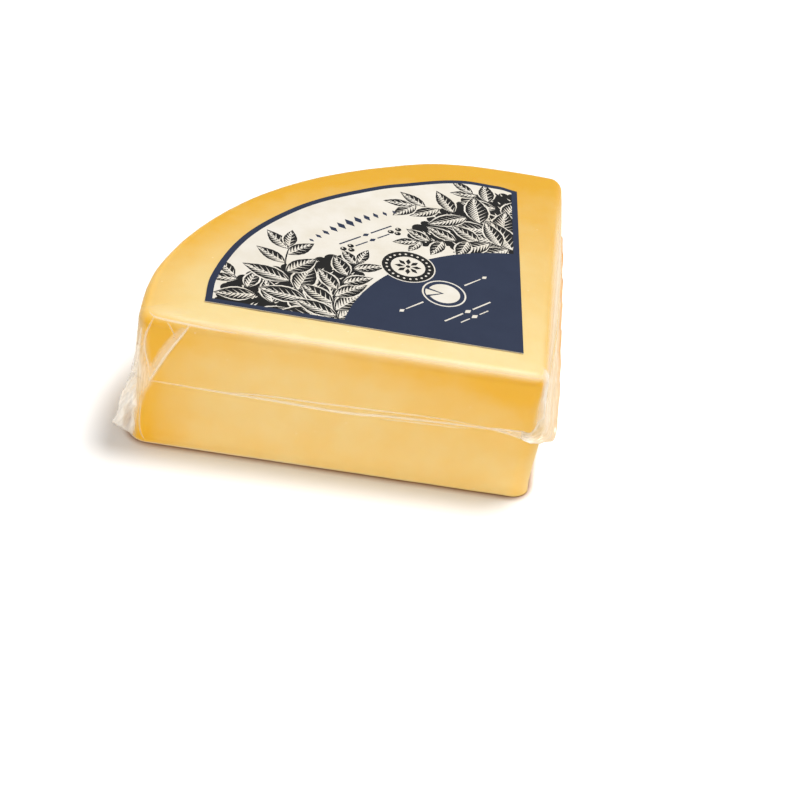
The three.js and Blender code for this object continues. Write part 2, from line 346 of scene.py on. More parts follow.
# %% Levels of the wall
WALL_STEPS = 44
EDGE_STEPS = 8
FOOT_LEVELS = (0.8, 1.1, 1.5)
FOOT_FLARE = 0.8
FOOT_FLARE_HEIGHT = 6.0


def make_levels(depth):
    """The levels of a wall from the base up: how far in, how high, and how far the surface leans up."""

    def flare(z):
        return FOOT_FLARE * max(1 - z / FOOT_FLARE_HEIGHT, 0) ** 2

    def rounding(radius):
        turns = np.linspace(0, math.pi / 2, EDGE_STEPS + 1)
        inner = radius - depth
        return [(depth + inner * (1 - math.sin(t)), depth + inner * (1 - math.cos(t)), t - math.pi / 2)
                for t in turns]

    lower = [(inset - flare(z), z, lean) for inset, z, lean in rounding(FOOT_ROUND)]
    wall = [(depth - flare(z), z, 0.0)
            for z in (*FOOT_LEVELS, *np.linspace(FOOT_ROUND, HEIGHT - TOP_ROUND, WALL_STEPS + 1)[1:-1])]
    upper = [(inset, HEIGHT - drop, -lean) for inset, drop, lean in reversed(rounding(TOP_ROUND))]
    return lower + wall + upper


print("the wall has", len(make_levels(0.0)), "levels")

# %% Rings of a closed skin
FILL_MIDDLE = np.array([-75.0, 75.0])


def make_skin(depth, fill_steps):
    """Points and normals of a closed skin that lies a little inside the pack, as rings from base to top."""
    rings = []
    normals = []
    levels = make_levels(depth)
    for inset, z, lean in levels:
        back = (inset + wander(outline.places, z) - lean_out(outline.laps, outline.normals, z))[:, None]
        rings.append(np.column_stack([outline.places - back * outline.normals, np.full(outline.size, z)]))
        normals.append(np.column_stack([outline.normals * math.cos(lean),
                                        np.full(outline.size, math.sin(lean))]))
    shares = np.arange(fill_steps - 1, 0, -1) / fill_steps
    middle_low = np.array([*FILL_MIDDLE, levels[0][1]])
    middle_high = np.array([*FILL_MIDDLE, levels[-1][1]])
    base = [middle_low + (rings[0] - middle_low) * share for share in shares[::-1]]
    top = [middle_high + (rings[-1] - middle_high) * share for share in shares]
    down = [np.tile([0.0, 0.0, -1.0], (outline.size, 1))] * len(base)
    over = [np.tile([0.0, 0.0, 1.0], (outline.size, 1))] * len(top)
    points = np.concatenate([[middle_low], *base, *rings, *top, [middle_high]])
    facings = np.concatenate([[[0, 0, -1.0]], *down, *normals, *over, [[0, 0, 1.0]]])
    return points, facings, len(base) + len(rings) + len(top)


def skin_faces(ring_count, size):
    """Faces of a closed skin: a fan at each pole and bands of squares between them."""
    here = np.arange(size)
    there = (here + 1) % size
    faces = [(0, 1 + j, 1 + i) for i, j in zip(here, there)]
    for ring in range(ring_count - 1):
        low = 1 + ring * size
        high = low + size
        faces += list(zip(low + here, low + there, high + there, high + here))
    last = 1 + (ring_count - 1) * size
    faces += [(last + i, last + j, last + size) for i, j in zip(here, there)]
    return [tuple(int(v) for v in face) for face in faces]


# %% Meshes with numbers on their points
def add_piece(name, points, faces, material, attributes=None, smooth=True):
    """Makes a mesh object from points in millimetres, with a number on each point for each attribute."""
    mesh = bpy.data.meshes.new(name)
    mesh.from_pydata(to_frame(points).tolist(), [], faces)
    if smooth:
        mesh.shade_smooth()
    else:
        mesh.shade_flat()
    for key, values in (attributes or {}).items():
        layer = mesh.attributes.new(key, "FLOAT", "POINT")
        layer.data.foreach_set("value", np.asarray(values, np.float32))
    mesh.materials.append(material)
    mesh.update()
    piece = bpy.data.objects.new(name, mesh)
    bpy.context.scene.collection.objects.link(piece)
    print(name, "has", len(mesh.vertices), "points and", len(mesh.polygons), "faces")
    return piece


# %% [markdown]
# The cheese under the film is hard cheddar. It isn't one colour: near the rind and along the cut edges it
# has dried and ripened to a deep gold, and the heart is a pale cream yellow. Painting that by hand would
# need a texture, so each point gets a number called gold, worked out from how far it is from the rim and
# from the edges. It runs from 0 in the heart to 1 at the rind.

# %% Gold of the top and the cuts
HEART_GOLD = 0.10
TOP_RISE = 0.84
TOP_RISE_LENGTH = 165.0
TOP_RISE_LIMIT = 1.2
TOP_RIM_GOLD = 0.75
TOP_RIM_DEPTH = 17.0
TOP_RIM_LOSS_BACK = 0.7
TOP_RIM_LOSS_FRONT = 0.35
TOP_RIM_FRONT = (30, 90)
CUT_GOLD = 0.51
CUT_TOP_GOLD = 0.17
CUT_TOP_BAND = (48, 63)
CUT_FOOT_GOLD = 0.02
CUT_FOOT_DEPTH = 7.0
CUT_RIND_GOLD = 0.60
CUT_RIND_DEPTH = 24.0
CUT_TIP_GOLD = 0.46
CUT_TIP_DEPTH = 60.0
CUT_TIP_LOW = 14.0
CUT_TIP_RISE = 48.0


def gold_of_top(points):
    x, y, _ = points.T
    rim_gap = np.maximum(RIM_RADIUS - np.hypot(x, y), 0)
    rise = np.clip(y / TOP_RISE_LENGTH, 0, TOP_RISE_LIMIT)
    rim = np.exp(-(rim_gap / TOP_RIM_DEPTH) ** 2) * (1 - TOP_RIM_LOSS_BACK * rise)
    rim *= 1 - TOP_RIM_LOSS_FRONT * (1 - ease(y, *TOP_RIM_FRONT))
    return HEART_GOLD + TOP_RISE * rise + TOP_RIM_GOLD * rim


def gold_of_cut(points, from_tip):
    z = points[:, 2]
    top = ease(z, *CUT_TOP_BAND)
    foot = np.exp(-z / CUT_FOOT_DEPTH)
    rind = np.exp(-(np.maximum(RIM_RADIUS - from_tip, 0) / CUT_RIND_DEPTH) ** 2)
    tip = np.exp(-(from_tip / CUT_TIP_DEPTH) ** 2) * np.clip((z - CUT_TIP_LOW) / CUT_TIP_RISE, 0, 1)
    return CUT_GOLD + CUT_TOP_GOLD * top + CUT_FOOT_GOLD * foot + CUT_RIND_GOLD * rind + CUT_TIP_GOLD * tip


# %% Gold all over
RIM_GOLD = 0.85
BASE_GOLD = 0.55
FLAT_SHARPNESS = 3
CUT_SHARPNESS = 4


def gold_of(points, normals):
    """Blends the gold of the top, the base, the two cuts and the rim by where the surface faces."""
    gold_by_side = [
        (np.clip(normals[:, 2], 0, 1) ** FLAT_SHARPNESS, gold_of_top(points)),
        (np.clip(-normals[:, 2], 0, 1) ** FLAT_SHARPNESS, BASE_GOLD),
        (np.clip(-normals[:, 1], 0, 1) ** CUT_SHARPNESS, gold_of_cut(points, -points[:, 0])),
        (np.clip(normals[:, :2] @ RIGHT_NORMAL, 0, 1) ** CUT_SHARPNESS, gold_of_cut(points, points[:, 1])),
    ]
    rest = np.clip(1 - sum(weight for weight, _ in gold_by_side), 0, 1)
    gold_by_side.append((rest, RIM_GOLD))
    return sum(weight * gold for weight, gold in gold_by_side) / sum(weight for weight, _ in gold_by_side)


# %% [markdown]
# Two more numbers go with the gold. The first darkens the colour. It is partly the real dullness of an old
# truckle's outside, most of all at the back and on the rim, and partly painted shade: the top and the cuts
# are painted darker, and the walls are painted lighter towards the foot. The rounded upper edge at the left
# front is left undarkened. The second is painted light: an emission near the foot of the front cut.

# %% Dullness with painted shade, and painted light at the foot
TOP_DULL_AND_SHADE = 0.13
RIM_DULL_AND_SHADE = 0.26
CUT_PAINTED_SHADE = 0.12
WALL_SHADE_RISE = (-6, 26)
RIM_MIDDLE_FACING = (-0.7, 0.7)
LEFT_EDGE_TURN = (0.02, 0.4)
LEFT_EDGE_END = (40, 120)
LEFT_EDGE_LEAN = 0.2
PAINTED_FOOT_LIGHT = 0.16
PAINTED_FOOT_LIGHT_DEPTH = 6.0


def dull_and_painted_shade_of(points, normals):
    """How much darker each point is painted: the rind's dullness and painted shade."""
    outside = np.clip(normals[:, 2], 0, 1) ** 2 + np.clip(-normals[:, 2], 0, 1) ** 2
    left, back = RIM_MIDDLE_FACING
    rim = np.clip(normals[:, 0] * left + normals[:, 1] * back, 0, 1) ** 0.5
    top_dull_and_shade = TOP_DULL_AND_SHADE + (RIM_DULL_AND_SHADE - TOP_DULL_AND_SHADE) * np.clip(points[:, 1] / TOP_RISE_LENGTH, 0, 1)
    # On the walls the painted shade fades out towards the foot, so the foot is painted lighter.
    wall = (CUT_PAINTED_SHADE + (RIM_DULL_AND_SHADE - CUT_PAINTED_SHADE) * rim) * ease(points[:, 2], *WALL_SHADE_RISE)
    left_edge = ease(-normals[:, 0], *LEFT_EDGE_TURN) * (1 - ease(points[:, 1], *LEFT_EDGE_END))
    left_edge *= normals[:, 2] > LEFT_EDGE_LEAN
    return (outside * top_dull_and_shade + (1 - outside) * wall) * (1 - left_edge)


# Painted light: the foot of the front cut is made to glow.
def painted_foot_light_of(points, normals):
    return PAINTED_FOOT_LIGHT * np.exp(-points[:, 2] / PAINTED_FOOT_LIGHT_DEPTH) * np.clip(-normals[:, 1], 0, 1)


# %% [markdown]
# Cheddar material. It is a dense milk fat and protein gel with an index of refraction near 1.45. Light goes a
# few millimetres in and comes out warmer, so the edges glow, which is subsurface scattering. The film is
# shrunk so tight that its gloss is the cheese's gloss, so a thin coat stands for it here. The curd shows as
# faint mottling about a centimetre wide, and a few pale crystals are under a millimetre. The rim carries the
# print of the cloth that the truckle was bound in: threads a good millimetre apart, drawn a little coarser
# than real ones so that they show.

# %% Cheddar
CURD_SIZE = 11.0
GRAIN_SIZE = 1.6
CLOUD_SIZE = 45.0
CRYSTAL_SPACING = 7.0
CRYSTAL_SIZE = 0.45
CLOTH_PITCH = 1.7
CURD_CHANGE = 0.06
CLOUD_CHANGE = 0.05
CURD_RELIEF = 0.35
GRAIN_RELIEF = 0.06
CLOTH_RELIEF = 0.15


def make_cheddar():
    material, tree, place = start_material("hard cheddar")
    gold, dull_and_painted_shade, painted_light, cloth, run, climb = (
        add_node(tree, "Attribute", {"attribute_name": name}).outputs["Fac"]
        for name in ("gold", "dull_and_painted_shade", "painted_light", "cloth", "run", "climb"))
    noises = ((CURD_SIZE, 4.0, 0.55), (CLOUD_SIZE, 2.0, 0.5), (GRAIN_SIZE, 3.0, 0.6))
    curd, cloud, grain = (
        add_node(tree, "TexNoise", inputs={
            "Vector": place, "Scale": 1 / (size * MM), "Detail": detail, "Roughness": rough}).outputs["Fac"]
        for size, detail, rough in noises)

    mottled = gold
    for spots, change in ((curd, CURD_CHANGE), (cloud, CLOUD_CHANGE)):
        spread = add_node(tree, "MapRange", inputs={
            "Value": spots, "From Min": 0.3, "From Max": 0.7, "To Min": -change, "To Max": change})
        mottled = add_node(tree, "Math", {"operation": "ADD"},
                           {0: mottled, 1: spread.outputs["Result"]}).outputs[0]
    fresh = add_node(tree, "Mix", {"data_type": "RGBA"}, {
        0: mottled, 6: linear("#f7e4a8"), 7: linear("#f4b61e")})
    # Mixing towards black darkens the cheese by its dullness and painted shade.
    colour = add_node(tree, "Mix", {"data_type": "RGBA"}, {
        0: dull_and_painted_shade, 6: fresh.outputs[2], 7: linear("#000000")})
    crystals = add_node(tree, "TexVoronoi", inputs={
        "Vector": place, "Scale": 1 / (CRYSTAL_SPACING * MM), "Randomness": 1.0})
    crystal = add_node(tree, "MapRange", inputs={
        "Value": crystals.outputs["Distance"], "From Min": 0.0,
        "From Max": CRYSTAL_SIZE / CRYSTAL_SPACING, "To Min": 0.55, "To Max": 0.0})
    speckled = add_node(tree, "Mix", {"data_type": "RGBA"}, {
        0: crystal.outputs["Result"], 6: colour.outputs[2], 7: linear("#fff3d6")})

    threads = []
    for way in (run, climb):
        turn = add_node(tree, "Math", {"operation": "MULTIPLY"}, {0: way, 1: 2 * math.pi / CLOTH_PITCH})
        threads.append(add_node(tree, "Math", {"operation": "SINE"}, {0: turn.outputs[0]}).outputs[0])
    weave = add_node(tree, "Math", {"operation": "MULTIPLY"}, {0: threads[0], 1: threads[1]})
    print_of_cloth = add_node(tree, "Math", {"operation": "MULTIPLY"}, {0: weave.outputs[0], 1: cloth})
    below = {}
    for height, strength, depth in ((print_of_cloth.outputs[0], 0.35, CLOTH_RELIEF),
                                    (curd, 0.5, CURD_RELIEF), (grain, 0.3, GRAIN_RELIEF)):
        bump = add_node(tree, "Bump", inputs={
            "Height": height, "Strength": strength, "Distance": depth * MM, **below})
        below = {"Normal": bump.outputs["Normal"]}

    shader = add_node(tree, "BsdfPrincipled", inputs={
        "Base Color": speckled.outputs[2],
        "Roughness": 0.5,
        "IOR": 1.45,
        "Specular IOR Level": 0.2,
        "Subsurface Weight": 0.25,
        "Subsurface Radius": (1.0, 0.7, 0.35),
        "Subsurface Scale": 3.0 * MM,
        # The emission is painted light at the foot of the front cut.
        "Emission Color": speckled.outputs[2],
        "Emission Strength": painted_light,
        "Coat Weight": 0.28,
        "Coat Roughness": 0.42,
        "Coat IOR": 1.5,
        **below})
    finish_material(tree, shader)
    return material


cheddar = make_cheddar()

# %% [markdown]
# The cheese itself is the skin laid three tenths of a millimetre under the film, with soft dents of curd. The
# dents are moved points, not only bump, so they also show in the outline.

# %% Cheese
CHEESE_DEPTH = 0.3
DENT_LENGTHS = (16.0, 6.0)
DENT_DEPTHS = (0.11, 0.05)


def dent(points):
    """How far the surface stands out from its even form."""
    rise = np.zeros(len(points))
    for length, depth in zip(DENT_LENGTHS, DENT_DEPTHS):
        rise += [depth * noise.noise(Vector(point) / length) for point in points]
    return rise


def make_cheese():
    points, normals, ring_count = make_skin(CHEESE_DEPTH, fill_steps=48)
    faces = skin_faces(ring_count, outline.size)
    on_rim = (outline.laps > 1) & (outline.laps < 2)
    ring_cloth = np.tile(on_rim.astype(float), ring_count)
    ring_run = np.tile(outline.run, ring_count)
    cloth = np.concatenate([[0], ring_cloth, [0]]) * (1 - np.abs(normals[:, 2]) ** 2)
    piece = add_piece("cheese", points + normals * dent(points)[:, None], faces, cheddar, {
        "gold": gold_of(points, normals),
        "dull_and_painted_shade": dull_and_painted_shade_of(points, normals),
        "painted_light": painted_foot_light_of(points, normals),
        "cloth": cloth,
        "run": np.concatenate([[0], ring_run, [0]]),
        "climb": points[:, 2],
    })
    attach(piece, "root")
    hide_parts("vacuum_pack")
    return piece


cheese = make_cheese()

# %% [markdown]
# Clear shrink film. It is a laminate of polyethylene and polyamide, blown and then shrunk in hot water, with
# an index of refraction near 1.5 and a smooth gloss. One layer lying flat on cheese is all but unseen. Where
# it is doubled, creased or stretched it turns milky, so each point carries a number called haze, and the
# alpha follows it. More numbers say how warm the film looks from the cheese's light, a painted light, how tan
# its welds are, and how crumpled it is. The haze is broken up by fine streaks along the way the film was
# drawn as it shrank, so each point also says how far it lies across the streaks and along them, in
# millimetres. One more number is for the stretched film along edges, which is milky without streaks, and it
# also carries painted highlights along the upper edge and the foot of the front cut.

# %% Film
FILM_CLEAR = 0.012
STREAK_WIDTH = 1.3
CRINKLE_SIZE = 4.5


def make_film():
    material, tree, place = start_material("clear shrink film")
    haze, even_haze_and_painted_highlight, warm, tan, crumple, cross, drawn = (
        add_node(tree, "Attribute", {"attribute_name": name}).outputs["Fac"]
        for name in ("haze", "even_haze_and_painted_highlight", "warm", "tan", "crumple", "cross", "drawn"))
    grain = add_node(tree, "CombineXYZ", inputs={"X": cross, "Y": drawn})
    streak = add_node(tree, "TexNoise", inputs={
        "Vector": grain.outputs["Vector"], "Scale": 1 / STREAK_WIDTH, "Detail": 3.0})
    crinkle = add_node(tree, "TexNoise", inputs={
        "Vector": place, "Scale": 1 / (CRINKLE_SIZE * MM), "Detail": 2.0, "Distortion": 0.8})
    streaky = add_node(tree, "MapRange", inputs={
        "Value": streak.outputs["Fac"], "From Min": 0.35, "From Max": 0.65, "To Min": 0.72, "To Max": 1.25})
    milky = add_node(tree, "Math", {"operation": "MULTIPLY"},
                     {0: haze, 1: streaky.outputs["Result"]})
    veiled = add_node(tree, "Math", {"operation": "ADD"}, {0: milky.outputs[0], 1: even_haze_and_painted_highlight})
    alpha = add_node(tree, "Math", {"operation": "ADD", "use_clamp": True},
                     {0: veiled.outputs[0], 1: FILM_CLEAR})
    # The warm colour is painted light, the film tinted by light from the cheese.
    painted_light = add_node(tree, "Mix", {"data_type": "RGBA"}, {
        0: warm, 6: linear("#fffaf0"), 7: linear("#e0ccab")})
    colour = add_node(tree, "Mix", {"data_type": "RGBA"}, {
        0: tan, 6: painted_light.outputs[2], 7: linear("#d8a263")})
    folded = add_node(tree, "Math", {"operation": "MULTIPLY"},
                      {0: crinkle.outputs["Fac"], 1: crumple})
    bump = add_node(tree, "Bump", inputs={
        "Height": folded.outputs[0], "Strength": 0.6, "Distance": 0.5 * MM})
    gloss = add_node(tree, "MapRange", inputs={
        "Value": crumple, "From Min": 0.0, "From Max": 0.6, "To Min": 0.36, "To Max": 0.16})
    shader = add_node(tree, "BsdfPrincipled", inputs={
        "Base Color": colour.outputs[2],
        "Roughness": gloss.outputs["Result"],
        "IOR": 1.5,
        "Alpha": alpha.outputs[0],
        "Normal": bump.outputs["Normal"]})
    finish_material(tree, shader)
    return material


film = make_film()


def dress_film(piece):
    """What all pieces of film share. Clear film throws next to no shadow and dims nothing under it."""
    piece.visible_shadow = False
    piece.visible_diffuse = False
    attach(piece, "root")
    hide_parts("vacuum_pack")
    return piece


# %% [markdown]
# The film skin lies on the cheese all over. It is milky in three places: where it bridges the left corner,
# where it is stretched over the upper edge of the front cut, and beside the tip, where the seam pulls it out.
# Along the upper edge and the foot of the front cut it also carries painted highlights.

# %% Haze at the left corner
CORNER_HAZE = [(0, 0.5), (18, 0.52), (26, 0.44), (30, 0.5), (38, 0.5), (46, 0.38), (56, 0.28), (70, 0.2)]
CORNER_EDGE = [(0, -178.9), (14, -178.4), (27, -175.9), (36, -173.0), (45, -173.6), (50, -175.4),
               (70, -178.5)]
CORNER_FADE = 1.8
CORNER_FRONT_SHARE = 0.8
CORNER_THICKENING = 0.6
CORNER_BACK = (6.0, 12.0)


def corner_haze(points):
    """The milky strip at the left corner: it starts on the front cut and ends a little way round the rim."""
    x, y, z = points.T
    edge = between(CORNER_EDGE, z)
    inside = ease(edge - x, -CORNER_FADE, CORNER_FADE)
    inside *= CORNER_FRONT_SHARE + CORNER_THICKENING * ease(edge - x, CORNER_FADE, 3 * CORNER_FADE)
    return between(CORNER_HAZE, z) * inside * (1 - ease(y, *CORNER_BACK))


# %% Haze and painted highlights along the edges
EDGE_HAZE_AND_HIGHLIGHT = [(-180, 0.09), (-165, 0.13), (-150, 0.22), (-132, 0.3), (0, 0.3)]
EDGE_LINE_LEAN = [(-180, 86), (-168, 83), (-158, 67), (-148, 56), (-132, 54), (0, 50)]
EDGE_LINE_SPREAD = [(-180, 11), (-150, 13), (-132, 15)]
EDGE_LINE_DEPTH = 9.0
EDGE_LINE_FACING = 0.05
FOOT_HIGHLIGHT = [(-176, 0.3), (-110, 0.22), (-60, 0.12), (0, 0.06)]
FOOT_HIGHLIGHT_HEIGHT = 0.7
FOOT_HIGHLIGHT_SPREAD = 0.5
FOOT_HIGHLIGHT_FACING = -0.5
FOOT_HIGHLIGHT_LEAN = -30
RIGHT_WALL_HAZE = [(40, 0.0), (46, 0.4), (56, 0.52), (66, 0.34)]
RIGHT_WALL_FADE = (120, 165)
RIGHT_WALL_LEAN = (52, 78)
RIGHT_WALL_TURN = (0.5, 0.85)


def edge_haze_and_painted_highlight(points, normals):
    """Painted highlights along the front cut, on milky stretched film at its upper edge and alone at its
    foot, and the milky upper edge of the right cut.
    """
    x, y, z = points.T
    lean = np.degrees(np.arcsin(np.clip(normals[:, 2], -1, 1)))
    # The line on the upper edge is milky stretched film and a painted highlight.
    line = np.exp(-((lean - between(EDGE_LINE_LEAN, x)) / between(EDGE_LINE_SPREAD, x)) ** 2)
    line *= y < EDGE_LINE_DEPTH
    on_front = normals[:, 1] < EDGE_LINE_FACING
    on_right = ease(normals[:, 0], *RIGHT_WALL_TURN) * (1 - ease(lean, *RIGHT_WALL_LEAN))
    on_right *= 1 - ease(y, *RIGHT_WALL_FADE)
    # A painted highlight along the foot of the front cut.
    foot = between(FOOT_HIGHLIGHT, x) * np.exp(-((z - FOOT_HIGHLIGHT_HEIGHT) / FOOT_HIGHLIGHT_SPREAD) ** 2)
    foot *= (normals[:, 1] < FOOT_HIGHLIGHT_FACING) & (lean > FOOT_HIGHLIGHT_LEAN)
    return between(RIGHT_WALL_HAZE, z) * on_right + (between(EDGE_HAZE_AND_HIGHLIGHT, x) * line + foot) * on_front


# %% Haze beside the tip
TIP_HAZE = 0.45
TIP_EDGE = [(30, 6.0), (42, 3.6), (47, 2.8), (52, 1.4), (58, 0.0), (64, -1.4), (70, -3.0)]
TIP_FADE = 1.5
TIP_DEPTH = 9.0
TIP_RISE = (36, 42)


def tip_haze(points):
    x, y, z = points.T
    beyond = x - between(TIP_EDGE, z)
    return TIP_HAZE * ease(beyond, -TIP_FADE, TIP_FADE) * (y < TIP_DEPTH) * ease(z, *TIP_RISE)


# %% Film skin
SKIN_DEPTH = 0.03
DRAWN = 0.14
SKIN_WARM = 0.12
CORNER_WARM = 0.6
CORNER_WARM_RISE = (14, 30)
RIGHT_WARM = 0.3
RIGHT_WARM_TURN = (0.3, 0.85)


def make_film_skin():
    points, normals, ring_count = make_skin(SKIN_DEPTH, fill_steps=12)
    side = 1 - np.abs(normals[:, 2]) ** 3
    corner = corner_haze(points) * side
    warm_corner = CORNER_WARM * corner * ease(points[:, 2], *CORNER_WARM_RISE)
    piece = add_piece("film_skin", points, skin_faces(ring_count, outline.size), film, {
        "haze": np.maximum(corner, tip_haze(points) * side),
        "even_haze_and_painted_highlight": edge_haze_and_painted_highlight(points, normals),
        "warm": SKIN_WARM + warm_corner + RIGHT_WARM * ease(normals[:, 0], *RIGHT_WARM_TURN),
        "cross": np.concatenate([[0], np.tile(outline.run, ring_count), [0]]),
        "drawn": points[:, 2] * DRAWN,
    })
    return dress_film(piece)


make_film_skin()

# %% [markdown]
# The welded seam goes all round at half height. On the right cut the film is drawn out from the wall like a
# tent, down to a wide blade that droops a little. On the rim the seam is narrow, and on the front cut it is
# folded down flat and all but gone. It is one closed band: for each sample of the outline a section starts
# in the wall, runs out over the top of the blade to its edge and comes back underneath. The ridges along it
# are where the film has gathered.

# %% Sizes of the seam
SEAM_HEIGHTS = [(0, 39), (1, 36), (2, 36), (2.22, 35.9), (2.42, 38.4), (2.68, 40), (2.88, 39), (3, 39)]
SEAM_REACH = [(0, 7.6), (0.05, 10), (0.25, 11), (0.6, 10.4), (0.8, 9.7), (0.93, 8.9), (1.0, 7), (1.06, 4.6),
              (1.2, 3.4), (1.6, 2.4), (1.9, 1.2), (1.98, 1.4), (2.06, 0.7), (2.87, 0.7), (2.9, 2.2),
              (2.937, 4), (2.965, 5.4), (3, 7.6)]
SEAM_FOLD = [(0, 0), (2.2, 0), (2.3, 2.2), (2.6, 4.6), (2.72, 4.4), (2.86, 1.2), (2.94, 1.6), (3, 0)]
SEAM_TENT = [(0, 4), (0.03, 14), (0.12, 26), (0.4, 22), (0.6, 8), (1.1, 1.8), (2.06, 0.5), (2.98, 0.5),
             (3, 4)]
SEAM_TENT_BEND = 3.0
SEAM_UNDER_ROOT = 1.0
SEAM_UNDER_TENT = 0.4
SEAM_UNDER_FLAT = 0.5
SEAM_UNDER_BEND = 2.0
SEAM_HALF_THICKNESS = 0.2
SEAM_SAG = 0.2
SEAM_WAVE = 0.7
SEAM_WAVES = 9
SEAM_FLUTTER = 0.9
FLUTTER_LENGTH = 7.0
SEAM_INSIDE = 0.8
SEAM_STEPS = 34
SEAM_RIDGES = 4.2
SEAM_RIDGE_DRIFT = 0.7
SEAM_RIDGE_HEIGHT = 0.3
SEAM_FULL_REACH = 10.0
SEAM_FLAT_REACH = (3.5, 1.5)
DRIFT_LENGTH = 42.0


# %% Along the seam
def wave_along(length, seed):
    """A slow random change along the outline."""
    return np.array([noise.noise(Vector((run / length, seed, 5))) for run in outline.run])


drift = wave_along(DRIFT_LENGTH, 0)
second_drift = wave_along(DRIFT_LENGTH, 7)
seam_reach = between(SEAM_REACH, outline.laps)
seam_fullness = seam_reach / SEAM_FULL_REACH
seam_flat = ease(seam_reach, *SEAM_FLAT_REACH)
seam_edge = (SEAM_WAVE * seam_fullness * np.sin(2 * math.pi * SEAM_WAVES * outline.laps)
             + SEAM_FLUTTER * seam_fullness * wave_along(FLUTTER_LENGTH, 3)
             - between(SEAM_FOLD, outline.laps) - SEAM_SAG * (seam_reach - 1))
print("the seam stands out by", seam_reach.min().round(1), "to", seam_reach.max().round(1), "mm")


def seam_ridge(t):
    return np.sin(2 * math.pi * (SEAM_RIDGES * t + SEAM_RIDGE_DRIFT * drift))


def seam_ring(t, side):
    """The line round the pack that lies t of the way out, on top of the seam (1) or under it (-1)."""
    root = between(SEAM_TENT, outline.laps)
    bend = SEAM_TENT_BEND
    if side < 0:
        root = -(SEAM_UNDER_ROOT + SEAM_UNDER_TENT * seam_reach) * (1 - seam_flat)
        root -= SEAM_UNDER_FLAT * seam_flat
        bend = SEAM_UNDER_BEND
    out = -SEAM_INSIDE + (seam_reach + SEAM_INSIDE) * t
    rise = seam_edge * t + root * (1 - t) ** bend + side * SEAM_HALF_THICKNESS
    height = SEAM_RIDGE_HEIGHT * np.minimum(seam_fullness, 1) * math.sin(math.pi * t)
    z = between(SEAM_HEIGHTS, outline.laps) + rise + side * height * seam_ridge(t)
    return np.column_stack([outline.places + outline.normals * out[:, None], z])


# %% [markdown]
# The seam's looks. Its blade is milky, most of all on its ridges and at its edge, and its welds are tan.
# Where it is pressed flat on the rim only three thin lines of it show, and on the front cut the folds below
# stand for it. Beside the tip the film is drawn out clean, without crumples or tan.

# %% Looks of the seam
BLADE_HAZE = 0.55
BLADE_EDGE_HAZE = 0.2
RIDGE_HAZE = 0.25
FLAT_HAZE = 0.06
FLAT_SHARES = {1: 0.8, -1: 0.05}
FLAT_WARM_LOSS = 0.55
CLEAN_WARM = 0.4
SIDE_CROSS = 20
SEAM_DRAWN = 0.03
SEAM_CRUMPLE = 0.4
WELD_TAN = 0.9
WELD_SHARPNESS = 8
EDGE_TAN = [(0, 0.1), (0.2, 0.2), (0.45, 0.9), (0.95, 0.9), (1.1, 0.5), (2, 0.3), (2.9, 0.1), (3, 0.1)]
EDGE_TAN_BAND = (0.86, 0.96)
pressed = ease(outline.laps, 2.0, 2.06) * (1 - ease(outline.laps, 2.88, 2.93))
crumpled = 1 - ease(outline.laps, 2.8, 2.88) * (1 - ease(outline.laps, 2.96, 3.0))
flat_lines = ((0.55, 0.16 + 0.03 * second_drift, 0.07), (0.5, 0.97, 0.07), (0.3, 0.62 + 0.12 * drift, 0.05))


def seam_haze(t, side):
    blade = BLADE_HAZE + BLADE_EDGE_HAZE * t + RIDGE_HAZE * np.clip(seam_ridge(t), 0, 1) ** 2
    lines = FLAT_HAZE
    for strength, middle, spread in flat_lines:
        lines = lines + strength * np.exp(-((t - middle) / spread) ** 2)
    lines *= (1 - pressed) * FLAT_SHARES[side]
    return np.clip(blade * (1 - seam_flat) * (1 - pressed) + lines * seam_flat, 0, 1)


def seam_tan(t):
    weld = np.clip(-seam_ridge(t), 0, 1) ** WELD_SHARPNESS * (0.5 + second_drift)
    edge = between(EDGE_TAN, outline.laps) * ease(t, *EDGE_TAN_BAND)
    return np.clip(WELD_TAN * weld + edge, 0, 1) * (1 - seam_flat) * crumpled


# %% Seam
def make_seam():
    shares = np.linspace(0, 1, SEAM_STEPS)
    courses = [(t, 1) for t in shares] + [(t, -1) for t in shares[::-1]]
    here = np.arange(outline.size)
    there = (here + 1) % outline.size
    faces = []
    for ring in range(len(courses)):
        low = ring * outline.size
        high = (ring + 1) % len(courses) * outline.size
        faces += np.column_stack([high + here, high + there, low + there, low + here]).tolist()
    warm = (1 - FLAT_WARM_LOSS * seam_flat) * (CLEAN_WARM + (1 - CLEAN_WARM) * crumpled)
    piece = add_piece("film_seam", np.concatenate([seam_ring(t, side) for t, side in courses]), faces, film, {
        "haze": np.concatenate([seam_haze(t, side) for t, side in courses]),
        "warm": np.tile(warm, len(courses)),
        "tan": np.concatenate([seam_tan(t) for t, _ in courses]),
        "crumple": np.tile(SEAM_CRUMPLE * (1 - seam_flat) * crumpled, len(courses)),
        "cross": np.concatenate([seam_reach * t + SIDE_CROSS * side for t, side in courses]),
        "drawn": np.tile(outline.run, len(courses)) * SEAM_DRAWN,
    })
    return dress_film(piece)


make_seam()

# %% [markdown]
# The ear is the spare corner of the bag. It hangs from the left corner as a doubled, crumpled sheet. A cloth
# simulation could crumple it, but its outline has to stay where it is, so creases are made from noise: the
# distance of a noise from zero has sharp valleys, which look like creases. They fan out from the place where
# the seam meets the corner, and the haze is calmer near the floor.

